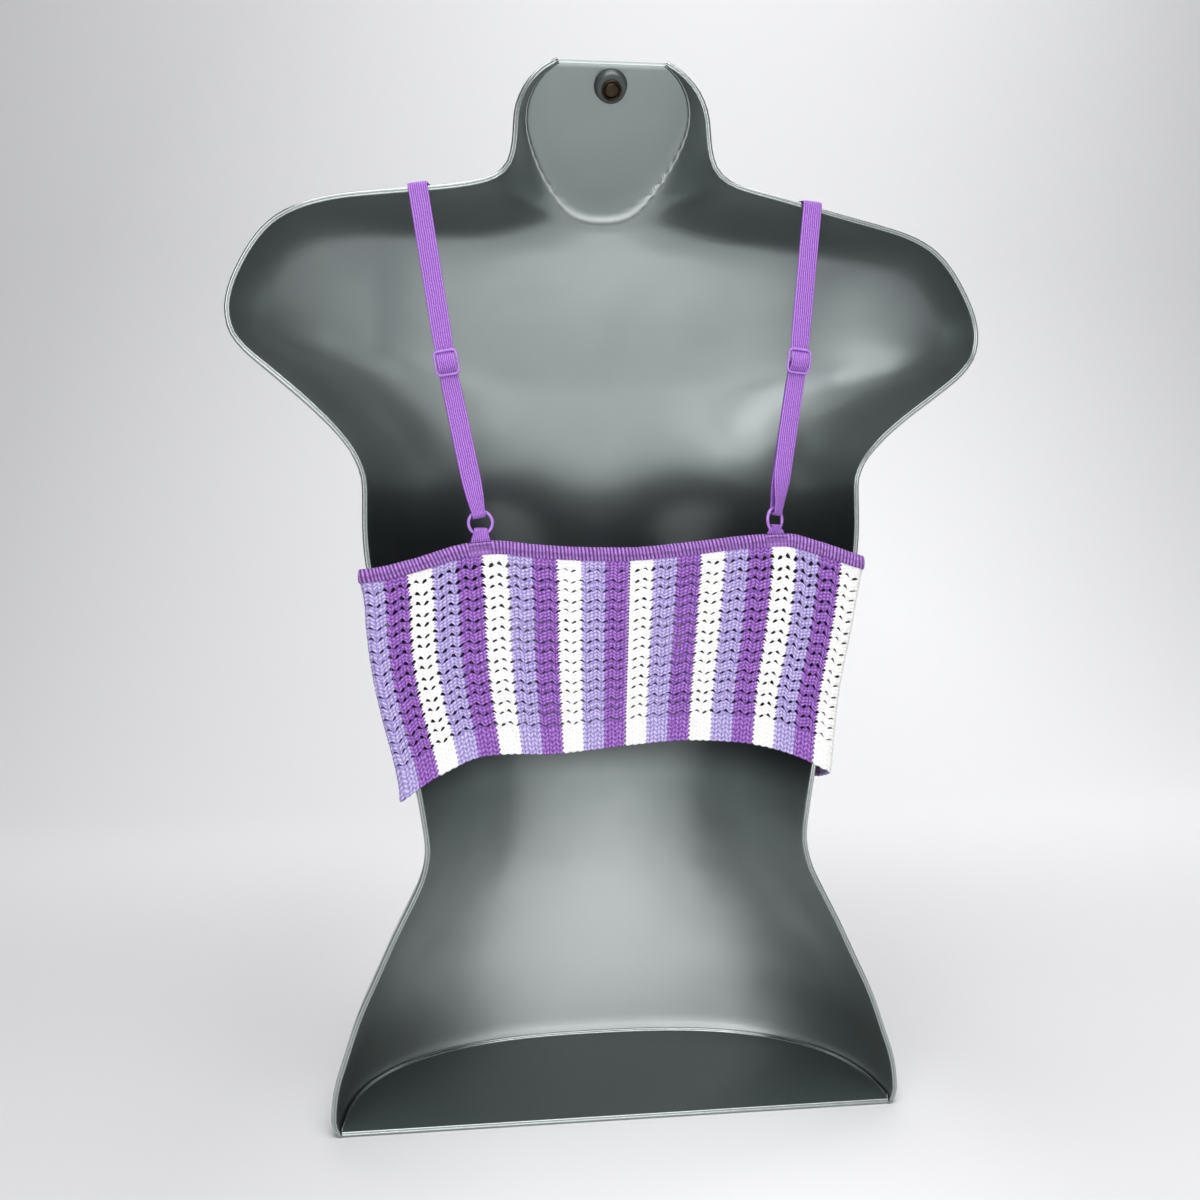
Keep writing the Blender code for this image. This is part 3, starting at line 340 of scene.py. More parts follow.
def polystyrene():
    """Dark grey moulded polystyrene with a soft metallic gleam. The sheet is a little wavy, with a
    faint bloom, a rubbed haze on the belly that is partly a painted highlight and a scuff on the neck,
    and handling has polished the rim. Behind the cloth it carries painted shade, and along the neck's
    crease a painted highlight."""
    material, tree, shader = new_material("grey moulded polystyrene")
    where = add(tree, "TexCoord").outputs["Object"]
    bead = add(tree, "Attribute", attribute_name="rim").outputs["Fac"]
    bloom = noise(tree, where, 9.0, 3.0)
    colour = two_tone(tree, bloom, "#7E8685", "#8E9695", 0.3, 0.75)
    # The scuff is a rubbed streak some 20 mm long, broken up by a noise of 1 mm.
    off = distance_from(tree, where, (-0.054, 0.06, -0.531), (1.0, 0.12, 0.36))
    scuff = maths(tree, "LESS_THAN", off, maths(tree, "MULTIPLY", noise(tree, where, 900.0, 2.0), 0.0085))
    scuffed = blend(tree, maths(tree, "MULTIPLY", scuff, 0.55), colour, linear("#B9BCBB"))
    # A dull haze lies over the belly, thickest 52 mm up; its paler colour is partly a rubbed haze and
    # # partly a painted highlight. It fades out unevenly, some 170 mm to the sides and 125 mm above.
    reach = distance_from(tree, where, (0.0, 0.0, -0.52), (7.4, 0.0, 10.0))
    haze_and_highlight = eased(tree, maths(tree, "ADD", reach, bloom), 0.75, 1.75, 1.0, 0.0)
    hazy_and_highlit = blend(tree, haze_and_highlight, scuffed, linear("#BEC4C3"))
    # Behind the cloth, from 180 to 340 mm up, the plastic is painted darker: painted shade of the cloth
    # over the hollow behind it.
    height = add(tree, "SeparateXYZ", [("Vector", where)]).outputs["Z"]
    cloth_shade_mask = maths(tree, "MULTIPLY", eased(tree, height, 0.165, 0.19), eased(tree, height, 0.37, 0.31))
    with_cloth_shade = blend(tree, maths(tree, "MULTIPLY", cloth_shade_mask, 0.72), hazy_and_highlit, linear("#1E2224"))
    # Where the cap meets the neck's wall a raised crease runs round, just short of the cap's plane. Its
    # paler colour is a painted highlight along the crease.
    to_plane = add(tree, "VectorMath", [(0, where), (1, (0.0, -1.0, -CAP_RUN_PER_DROP))],
                   operation="DOT_PRODUCT").outputs["Value"]
    cap_inset = FORM_WALL * math.hypot(1.0, CAP_RUN_PER_DROP)
    plane = (NECK_CREST * CAP_RUN_PER_DROP - cap_inset - RIM_BACK - 0.25 * CAP_EDGE_BLEND) * METRES
    off_crease = maths(tree, "ABSOLUTE", maths(tree, "ADD", to_plane, plane))
    crease_and_highlight = eased(tree, off_crease, 0.0, CREASE_HALF_WIDTH * METRES, 1.0, 0.0)
    handled = blend(tree, bead, with_cloth_shade, linear("#A2A8A7"))
    tree.links.new(blend(tree, crease_and_highlight, handled, linear("#C4C9C8")), shader.inputs["Base Color"])
    tree.links.new(ranged(tree, haze_and_highlight, 0.0, 1.0, 0.8, 0.2), shader.inputs["Metallic"])
    rough = ranged(tree, bloom, 0.0, 1.0, 0.29, 0.40)
    polished = add(tree, "Mix", [(0, bead), (2, rough), (3, 0.17)]).outputs[0]
    tree.links.new(polished, shader.inputs["Roughness"])
    shader.inputs["IOR"].default_value = 1.59
    shader.inputs["Coat Weight"].default_value = 0.35
    shader.inputs["Coat Roughness"].default_value = 0.16
    wavy = bumped(tree, noise(tree, where, 22.0, 1.0), 0.0011, 0.6)
    raised = bumped(tree, crease_and_highlight, 0.0008, 0.8, wavy)
    peel = bumped(tree, noise(tree, where, 420.0, 2.0), 0.00004, 0.5, raised)
    tree.links.new(peel, shader.inputs["Normal"])
    return material


form_plastic = polystyrene()

FORM_COLUMNS, RIM_EDGE_OUTSIDE, RIM_EDGE_INSIDE = 97, 1.3, 0.8
form_rows = np.unique(np.concatenate([np.arange(0, len(even_length), 10), [len(even_length) - 1]]))
outer_face = form_face(0.0, form_rows, FORM_COLUMNS)
inner_face = form_face(-FORM_WALL, form_rows, FORM_COLUMNS)
inner_face[..., 2] = np.clip(inner_face[..., 2], 0.0, None)
inner_face[0, :, 2] = 0.0

# Across the rim: share of the wall from the outer to the inner corner, and depth behind the rim plane.
RIM_BEADS = np.array([(0.05, 0.80), (0.13, 0.42), (0.22, 0.16), (0.31, 0.04), (0.40, 0.0), (0.50, 0.05),
                      (0.56, 0.28), (0.61, 0.58), (0.66, 0.32), (0.74, 0.06), (0.86, 0.0), (0.95, 0.35)])
share = RIM_BEADS[None, :, 0:1]
bead_depth = np.stack([0.0 * RIM_BEADS[:, 1], RIM_BEADS[:, 1], 0.0 * RIM_BEADS[:, 1]], axis=-1)[None]
right_rim = outer_face[:, -1:] * (1.0 - share) + inner_face[:, -1:] * share + bead_depth
left_rim = outer_face[:, :1] * (1.0 - share) + inner_face[:, :1] * share + bead_depth
outer_face[:, [0, -1], 1] = RIM_EDGE_OUTSIDE
inner_face[:, [0, -1], 1] = RIM_EDGE_INSIDE
wall_loop = np.concatenate([outer_face, right_rim, inner_face[:, ::-1], left_rim[:, ::-1]], axis=1)
rows, columns = wall_loop.shape[:2]
side_faces = grid_quads(rows, columns, closed_round=True)
columns_of_rim = len(RIM_BEADS)
inner_start, inner_end = FORM_COLUMNS + columns_of_rim, columns - columns_of_rim - 1
across = np.arange(FORM_COLUMNS - 1)
beads = np.arange(columns_of_rim)
foot = np.concatenate([
    np.stack([across, across + 1, inner_end - 1 - across, inner_end - across], axis=-1),
    np.stack([beads * 0 + FORM_COLUMNS - 1, beads + FORM_COLUMNS, beads + FORM_COLUMNS + 1,
              beads * 0 - 1], axis=-1),
    np.stack([beads * 0, beads + inner_end, beads + inner_end + 1, beads * 0 - 1], axis=-1)])
crown = np.where(foot[:, 3:] < 0, foot[:, [2, 1, 0, 3]], foot[:, ::-1])
crown = np.where(crown < 0, -1, crown + (rows - 1) * columns)
on_rim = np.zeros((rows, columns))
on_rim[:, FORM_COLUMNS:inner_start] = on_rim[:, -columns_of_rim:] = 1.0
form = piece_from("torso_form", wall_loop.reshape(-1, 3),
                  np.concatenate([side_faces, foot, crown]), form_plastic, rim=on_rim.ravel())
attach(form, "root")
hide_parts("form_shell")


# ============================================================ foot plate
# The form stands on a flat plate of the same plastic, moulded with a matt upper face. Its free edge is
# beaded like the rim of the open back, and a small fillet closes it against the form's wall.
def foot_plastic():
    """Dark grey polystyrene with a fine matt mould texture."""
    material, tree, shader = new_material("matt grey polystyrene foot")
    where = add(tree, "TexCoord").outputs["Object"]
    texture = noise(tree, where, 500.0, 2.0)
    colour = two_tone(tree, texture, "#333A3A", "#3C4444")
    bead = add(tree, "Attribute", attribute_name="rim").outputs["Fac"]
    tree.links.new(blend(tree, bead, colour, linear("#A2A8A7")), shader.inputs["Base Color"])
    tree.links.new(bead, shader.inputs["Metallic"])
    polished = add(tree, "Mix", [(0, bead), (2, 0.42), (3, 0.17)]).outputs[0]
    tree.links.new(polished, shader.inputs["Roughness"])
    shader.inputs["IOR"].default_value = 1.59
    tree.links.new(bumped(tree, texture, 0.00005, 0.4), shader.inputs["Normal"])
    return material


PLATE_GAP, PLATE_COLUMNS, PLATE_END_TURN = 0.08, 121, 0.09
PLATE_TIP, PLATE_TIP_REACH = 1.3, 1.004            # the plate's tips end half a millimetre inside the wall
# depth behind the rim plane and height, from the underside over the beaded edge to the upper face
PLATE_EDGE = np.array([
    (1.4, 0.0), (0.80, 0.15), (0.42, 0.39), (0.16, 0.66), (0.04, 0.93), (0.0, 1.20), (0.05, 1.50),
    (0.28, 1.68), (0.58, 1.83), (0.32, 1.98), (0.06, 2.22), (0.0, 2.58), (0.35, 2.85), (0.9, 3.0)])
# distance in front of the plate's curved back edge and height
PLATE_FILLET = np.array([(2.2, 3.0), (1.3, 3.12), (0.7, 3.42), (0.3, 3.95), (0.05, 4.7), (0.0, 4.7)])


def foot_plate():
    """A loop of points round the plate's section at each step across it: the beaded edge, the upper face,
    the fillet at the back edge and the underside. The back edge follows the form's inner face."""
    half_width = PLATE_TIP_REACH * float(np.interp(2.0, *grown_outline(1, -FORM_WALL - PLATE_GAP)))
    turn = np.linspace(PLATE_END_TURN, math.pi - PLATE_END_TURN, PLATE_COLUMNS)
    side = -half_width * np.cos(turn) / math.cos(PLATE_END_TURN)
    back = np.stack([form_depth(side, np.full_like(side, height), -FORM_WALL - PLATE_GAP)
                     for height in PLATE_FILLET[:, 1]], axis=1)
    least = np.minimum(back.min(axis=1, keepdims=True),
                       form_depth(side, np.full_like(side, 0.4), -FORM_WALL - PLATE_GAP)[:, None])
    least = np.maximum(least, PLATE_TIP)
    edge = np.minimum(PLATE_EDGE[None, :, 0], least)
    fillet = np.maximum(np.minimum(back, least + 0.4) - PLATE_FILLET[None, :, 0], edge[:, -1:])
    depth = np.concatenate([edge, fillet, least], axis=1)
    height = np.concatenate([PLATE_EDGE[:, 1], PLATE_FILLET[:, 1], [0.0]])
    loop = np.stack(np.broadcast_arrays(side[:, None], depth, height[None, :]), axis=-1)
    rows, columns = loop.shape[:2]
    faces = grid_quads(rows, columns, closed_round=True)
    fan = np.arange(1, columns - 1)
    end = np.stack([fan * 0, fan, fan + 1, fan * 0 - 1], axis=-1)
    other = np.stack([fan * 0, fan + 1, fan, fan * 0 - rows * columns], axis=-1) + (rows - 1) * columns
    on_rim = np.zeros((rows, columns))
    on_rim[:, :len(PLATE_EDGE) - 1] = on_rim[:, -5:-2] = 1.0
    return loop.reshape(-1, 3), np.concatenate([faces, end, np.clip(other, -1, None)]), on_rim.ravel()


foot_points, foot_faces, foot_rim = foot_plate()
plate_plastic = foot_plastic()
foot = piece_from("foot_plate", foot_points, foot_faces, plate_plastic, rim=foot_rim)
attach(foot, "root")
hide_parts("form_base")


# ============================================================ neck boss and screw
# A round plastic boss is moulded on the inside of the neck's cap, and a brass screw goes through it.
# The screw's end is dull and domed, in a raised ring.
def turned_part(name, seat, profile, material, sides=40):
    """A closed turned shape on the cap: rings of the profile's radii at its distances from the seat,
    along the cap's inward direction."""
    inwards = -np.array([0.0, 1.0, CAP_RUN_PER_DROP]) / math.hypot(1.0, CAP_RUN_PER_DROP)
    across = np.array([1.0, 0.0, 0.0])
    up = np.cross(inwards, across)
    turn = np.linspace(0.0, 2.0 * math.pi, sides, endpoint=False)[None, :, None]
    radius, distance = np.asarray(profile, float).T[:, :, None, None]
    rings = seat + inwards * distance + (across * np.cos(turn) + up * np.sin(turn)) * radius
    count = len(profile)
    points = np.concatenate([rings.reshape(-1, 3), [rings[0].mean(axis=0), rings[-1].mean(axis=0)]])
    around = np.arange(sides)
    after, last = (around + 1) % sides, (count - 1) * sides
    caps = [np.stack([after, around, np.full(sides, count * sides), np.full(sides, -1)], axis=-1),
            np.stack([last + around, last + after, np.full(sides, count * sides + 1),
                      np.full(sides, -1)], axis=-1)]
    return piece_from(name, points, np.concatenate([grid_quads(count, sides, closed_round=True)[:, ::-1],
                                                    *caps]), material)


def dull_brass():
    """Turned brass gone nearly black in the air."""
    material, tree, shader = new_material("dull brass")
    tarnish = noise(tree, add(tree, "TexCoord").outputs["Object"], 420.0, 3.0)
    tree.links.new(two_tone(tree, tarnish, "#14100E", "#4E4234"), shader.inputs["Base Color"])
    shader.inputs["Metallic"].default_value = 1.0
    shader.inputs["Roughness"].default_value = 0.24
    return material


CAP_SLANT = math.hypot(1.0, CAP_RUN_PER_DROP)
BOSS_DEPTH, BOSS_LENGTH = 8.9, 5.0
inner_cap_drop = (BOSS_DEPTH + (FORM_WALL + 0.3) * CAP_SLANT) / CAP_RUN_PER_DROP
boss_seat = np.array([0.0, BOSS_DEPTH, NECK_CREST - inner_cap_drop])
boss = turned_part("boss_on_neck_cap", boss_seat, [
    (8.9, 0.0), (8.5, 0.5), (8.1, 1.1), (7.9, 4.2), (7.6, 4.8), (7.2, 5.0)], plate_plastic)
screw_seat = boss_seat - np.array([0.0, 1.0, CAP_RUN_PER_DROP]) / CAP_SLANT * (BOSS_LENGTH + 0.3)
screw = turned_part("screw_end", screw_seat, [
    (5.3, 0.0), (5.3, 1.3), (5.0, 1.6), (4.5, 1.6), (4.2, 0.9), (3.9, 0.9), (3.8, 1.9), (3.2, 2.2),
    (1.8, 2.35), (0.6, 2.4)], dull_brass())
for piece, node, slot in ((boss, "neck_boss", "form_plastic"), (screw, "neck_screw", "dull_brass")):
    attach(piece, "root")
    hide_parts(node)


# ============================================================ knit body
# Openwork knitted in three mercerised cotton yarns, 51 upright stripes round the body of three wales
# each. A small eyelet opens at every wale edge on every third course; the top and the hem are plain.
CLOTH_WALL = 1.4
BACK_OUT, CORNER_RADIUS, FRONT_EASE, DRAPE_REACH_DOWN = 3.7, 5.0, 3.2, 105.0
STRIPE = 2.0 / 21.0
WALES_IN_STRIPE = 3
SIDE_SEAM, FRONT_MIDDLE = 1.0 + 4.0 * STRIPE, 1.0 + 15.0 * STRIPE
BACK_HALF_WIDTH, BAND_HEIGHT = 134.0, 7.6
GIRTH_HEIGHT, GIRTH_DEPTH, GIRTH_SQUARENESS, CLOTH_FULLNESS = 262.0, 106.0, 2.34, 1.04

# height, half width on the left, half width on the right
BODY_WIDTHS = np.array([
    (168.0, 115.5, 115.3), (182.0, 115.9, 116.0), (195.0, 118.0, 117.2), (210.0, 121.6, 118.7),
    (226.0, 125.4, 120.6), (240.0, 128.2, 123.0), (254.0, 130.2, 126.0), (268.0, 131.5, 128.8),
    (281.0, 132.3, 131.2), (291.0, 134.0, 133.2), (299.0, 134.9, 134.6), (320.0, 135.4, 135.4),
    (350.0, 136.0, 136.0)])

# place round the body (-1 and 1 are the rims, 0 the middle of the back), top of the band, hem
EDGE_HEIGHTS = np.array([
    (-FRONT_MIDDLE, 330.0, 183.0), (-2.15, 332.0, 181.5), (-1.96, 339.0, 179.5), (-1.89, 344.8, 178.5),
    (-1.84, 345.0, 178.5), (-1.79, 344.8, 178.5), (-1.72, 335.0, 177.0), (-1.56, 314.5, 175.5),
    (-SIDE_SEAM, 300.5, 173.5), (-1.18, 296.6, 172.6), (-1.00, 298.0, 176.0), (-0.94, 298.9, 180.8),
    (-0.81, 302.8, 189.6), (-0.58, 311.2, 199.4), (-0.48, 312.4, 199.9), (-0.32, 310.2, 199.2),
    (-0.14, 308.6, 200.8), (0.03, 308.2, 202.9), (0.30, 311.0, 204.7), (0.54, 314.3, 203.0),
    (0.67, 315.0, 200.2), (0.82, 310.4, 194.6), (0.95, 304.6, 187.6), (1.00, 302.4, 184.2),
    (1.18, 299.6, 178.0), (SIDE_SEAM, 301.5, 177.0), (1.56, 314.5, 177.0), (1.72, 335.0, 178.0),
    (1.79, 344.8, 179.5), (1.84, 345.0, 179.5), (1.89, 344.8, 179.5), (1.96, 339.0, 180.5),
    (2.15, 332.0, 182.0), (FRONT_MIDDLE, 330.0, 183.0)])


def body_points(place, height, out):
    """Points of the cloth. Behind, a level line with an elliptical corner at each rim; beyond the rims
    a superellipse a little wider than the form, which hangs from the chest and spans its middle.
    out is millimetres beyond the cloth's outer face."""
    place, height = np.broadcast_arrays(np.asarray(place, float), np.asarray(height, float))
    place = np.where(place > FRONT_MIDDLE, place - 2.0 * FRONT_MIDDLE, place)
    side_of = np.where(place < 0.0, -1.0, 1.0)
    half_width = out + np.where(place < 0.0, curve_through(BODY_WIDTHS[:, 0], BODY_WIDTHS[:, 1], height),
                                curve_through(BODY_WIDTHS[:, 0], BODY_WIDTHS[:, 2], height))
    reach = np.abs(place)
    flat_share = 1.0 - CORNER_RADIUS / half_width
    turn = np.clip((reach - flat_share) / (1.0 - flat_share), 0.0, 1.0) * math.pi / 2.0
    back_side = np.where(reach < flat_share, reach * half_width,
                         flat_share * half_width + CORNER_RADIUS * np.sin(turn))
    back_depth = -(BACK_OUT + out) * np.cos(turn)

    # Turns at even steps of length along a section at the height of the chest.
    turns = np.linspace(0.0, math.pi / 2.0, 400)
    side = BACK_HALF_WIDTH * np.cos(turns) ** (2.0 / GIRTH_SQUARENESS)
    depth = GIRTH_DEPTH * np.sin(turns) ** (2.0 / GIRTH_SQUARENESS)
    depth = depth + chest(side, GIRTH_HEIGHT, CHEST_REACH_DOWN) * (1.0 - (side / BACK_HALF_WIDTH) ** 4)
    length = np.concatenate([[0.0], np.cumsum(np.hypot(np.diff(side), np.diff(depth)))])
    front_turn = np.interp((reach - 1.0) / (FRONT_MIDDLE - 1.0), length / length[-1], turns)

    squareness = curve_through(FORM_SECTIONS[:, 0], FORM_SECTIONS[:, 3], height)
    front_side = half_width * np.cos(front_turn) ** (2.0 / squareness)
    front_depth = curve_through(FORM_SECTIONS[:, 0], FORM_SECTIONS[:, 2], height) + FRONT_EASE + out
    front_depth = front_depth * np.sin(front_turn) ** (2.0 / squareness)
    beyond = np.clip(np.abs(front_side) - CHEST_SIDE, 0.0, None)
    fall = np.where(height > CHEST_HEIGHT, CHEST_REACH_UP, DRAPE_REACH_DOWN)
    share = np.clip(np.abs(front_side) / half_width, 0.0, 1.0)
    front_depth = front_depth + (CHEST_RISE * CLOTH_FULLNESS * np.exp(-(beyond / CHEST_WIDTH) ** 2)
                                 * np.exp(-((height - CHEST_HEIGHT) / fall) ** 2) * (1.0 - share ** 4))
    on_back = reach <= 1.0
    return np.stack([np.where(on_back, back_side, front_side) * side_of,
                     np.where(on_back, back_depth, front_depth), height], axis=-1)


def edge_height(place, column):
    """Height of the band's top (column 1) or the hem (column 2) at places round the body."""
    place = np.asarray(place, float)
    place = np.where(place > FRONT_MIDDLE, place - 2.0 * FRONT_MIDDLE, place)
    return curve_through(EDGE_HEIGHTS[:, 0], EDGE_HEIGHTS[:, column], place)


def band_bottom(place):
    """The band's lower edge: its height square to its run is the same everywhere."""
    nudge = 0.01
    rise = edge_height(place + nudge, 1) - edge_height(place - nudge, 1)
    slope = rise / (2.0 * nudge * BACK_HALF_WIDTH)
    return edge_height(place, 1) - BAND_HEIGHT * np.hypot(1.0, slope)


def striped_yarn():
    """Mercerised cotton in white, lilac and purple: matt with a soft sheen, round two-ply strands with
    painted shade in the grooves and along the legs' edges. The UV map counts wales across and courses
    down, so the stripes, the teeth where two yarns interlock and the twist of the plies follow the
    stitches."""
    material, tree, shader = new_material("mercerised cotton knit in three yarns")
    cloth = add(tree, "SeparateXYZ", [("Vector", add(tree, "UVMap", uv_map="cloth").outputs["UV"])])
    wale, course = cloth.outputs["X"], cloth.outputs["Y"]

    # Slack stitches lie at odds with each other, so their places wander by a fifth of a stitch.
    where = add(tree, "TexCoord").outputs["Object"]
    wander = add(tree, "TexNoise", [("Vector", where), ("Scale", 330.0), ("Detail", 1.0)])
    off = add(tree, "SeparateColor", [("Color", wander.outputs["Color"])])
    wale_off = maths(tree, "MULTIPLY", maths(tree, "SUBTRACT", off.outputs[0], 0.5), 0.9)
    course_off = maths(tree, "MULTIPLY", maths(tree, "SUBTRACT", off.outputs[1], 0.5), 1.5)
    loose_wale, loose_course = maths(tree, "ADD", wale, wale_off), maths(tree, "ADD", course, course_off)
    # Teeth of an eighth of a wale, one for each course, carry a stripe's colour into its neighbour.
    zigzag = maths(tree, "PINGPONG", maths(tree, "ADD", course, 0.15), 0.5)
    tooth = maths(tree, "MULTIPLY", maths(tree, "SUBTRACT", zigzag, 0.25), 0.62)
    wales_in_stripe = float(WALES_IN_STRIPE)
    stripe = maths(tree, "FLOOR", maths(tree, "DIVIDE", maths(tree, "ADD", wale, tooth), wales_in_stripe))
    which = maths(tree, "FLOORED_MODULO", stripe, 3.0)
    # Each half wale is one leg of the stitches; a leg gets painted shade along its edges, and the relief
    # attribute adds painted shade in the grooves.
    leg = maths(tree, "PINGPONG", maths(tree, "MULTIPLY", loose_wale, 2.0), 0.5)
    strand = maths(tree, "PINGPONG", loose_course, 0.5)
    edge = maths(tree, "MULTIPLY", ranged(tree, leg, 0.0, 0.2), ranged(tree, strand, 0.0, 0.24))
    painted_leg_shading = maths(tree, "ADD", maths(tree, "MULTIPLY", edge, 0.65), 0.35)
    relief = add(tree, "Attribute", attribute_name="relief").outputs["Fac"]
    uneven = noise(tree, where, 650.0, 2.0)
    painted_light = maths(tree, "MULTIPLY", maths(tree, "MULTIPLY", painted_leg_shading, relief),
                  maths(tree, "ADD", uneven, 0.55))
    # Each yarn runs from a painted shade colour in the grooves to its full colour on the strands' tops.
    lilac, purple, white = (
        blend(tree, painted_light, linear(shade), linear(full))
        for shade, full in (("#6F5FAE", "#D8CCEE"), ("#47197A", "#BC84D8"), ("#E0DEDC", "#FFFFFE")))
    coloured = blend(tree, maths(tree, "GREATER_THAN", which, 0.5), lilac, purple)
    colour = blend(tree, maths(tree, "GREATER_THAN", which, 1.5), coloured, white)
    tree.links.new(colour, shader.inputs["Base Color"])
    shader.inputs["Roughness"].default_value = 0.82
    shader.inputs["Specular IOR Level"].default_value = 0.25
    shader.inputs["Sheen Weight"].default_value = 0.18
    shader.inputs["Sheen Roughness"].default_value = 0.45
    # The plies turn once in 1.1 mm, drawn about twice as coarse as real so that they show.
    slant = maths(tree, "ADD", maths(tree, "MULTIPLY", loose_wale, 24.0),
                  maths(tree, "MULTIPLY", loose_course, 5.0))
    height = maths(tree, "ADD", maths(tree, "MULTIPLY", maths(tree, "SINE", slant), 0.22), edge)
    fuzz = bumped(tree, uneven, 0.00012, 0.5, bumped(tree, height, 0.00016, 0.8))
    tree.links.new(fuzz, shader.inputs["Normal"])
    return material


COLUMNS_IN_WALE, LINES_IN_COURSE = 6, 3
PLAIN_TOP_COURSES, PLAIN_HEM_COURSES, HEM_COURSE_STRETCH = 3, 7, 1.353
BACK_COURSES, FRONT_COURSES, FRONT_COURSE = 55, 76, 2.07
SEAM_HALF_GAP = 0.001
SMALLEST_OPENING, FIRST_EYELET_BELOW_BAND, CLOTH_BEHIND_BAND = -0.2, 4.6, 2.6
SKIN_BASE, OUTER_RELIEF, INNER_RELIEF = 0.24, 0.52, 0.42
chance = np.random.default_rng(7)


def pulled_place(place, share):
    """Where a wale runs at a share of the way from band to hem: the strap and the open flanks pull the
    stripes sideways, in three bell-shaped bulges of up to 3 mm."""
    bulge = np.sin(math.pi * np.clip((share + 0.15) / 1.22, 0.0, 1.0))
    high_bulge = np.sin(math.pi * np.clip(share / 0.75, 0.0, 1.0))
    moved = (-2.8 * np.exp(-((place + 0.78) / 0.25) ** 2) * bulge
             - 2.9 * np.exp(-((place - 0.10) / 0.45) ** 2) * np.clip(share, 0.0, 1.0) ** 1.2
             + 1.7 * np.exp(-((place - 0.74) / 0.20) ** 2) * high_bulge)
    return place + moved / BACK_HALF_WIDTH


def courses_down(course, courses):
    """Courses counted with those of the hem, which is looser, as 1.353 each."""
    into_hem = np.clip(course - courses + PLAIN_HEM_COURSES - 1.0, 0.0, None)
    return course + (HEM_COURSE_STRETCH - 1.0) * into_hem


def back_height(place, course):
    """Height of a course on the back: every course keeps its share of the way from band to hem."""
    share = courses_down(course, BACK_COURSES) / courses_down(BACK_COURSES, BACK_COURSES)
    low, high = edge_height(place, 2), band_bottom(place)
    return high - (high - low) * share


def front_height(place, course):
    """Height of a course on the front: all are equally deep, counted up from the hem."""
    down = courses_down(FRONT_COURSES, FRONT_COURSES) - courses_down(course, FRONT_COURSES)
    return edge_height(place, 2) + FRONT_COURSE * down


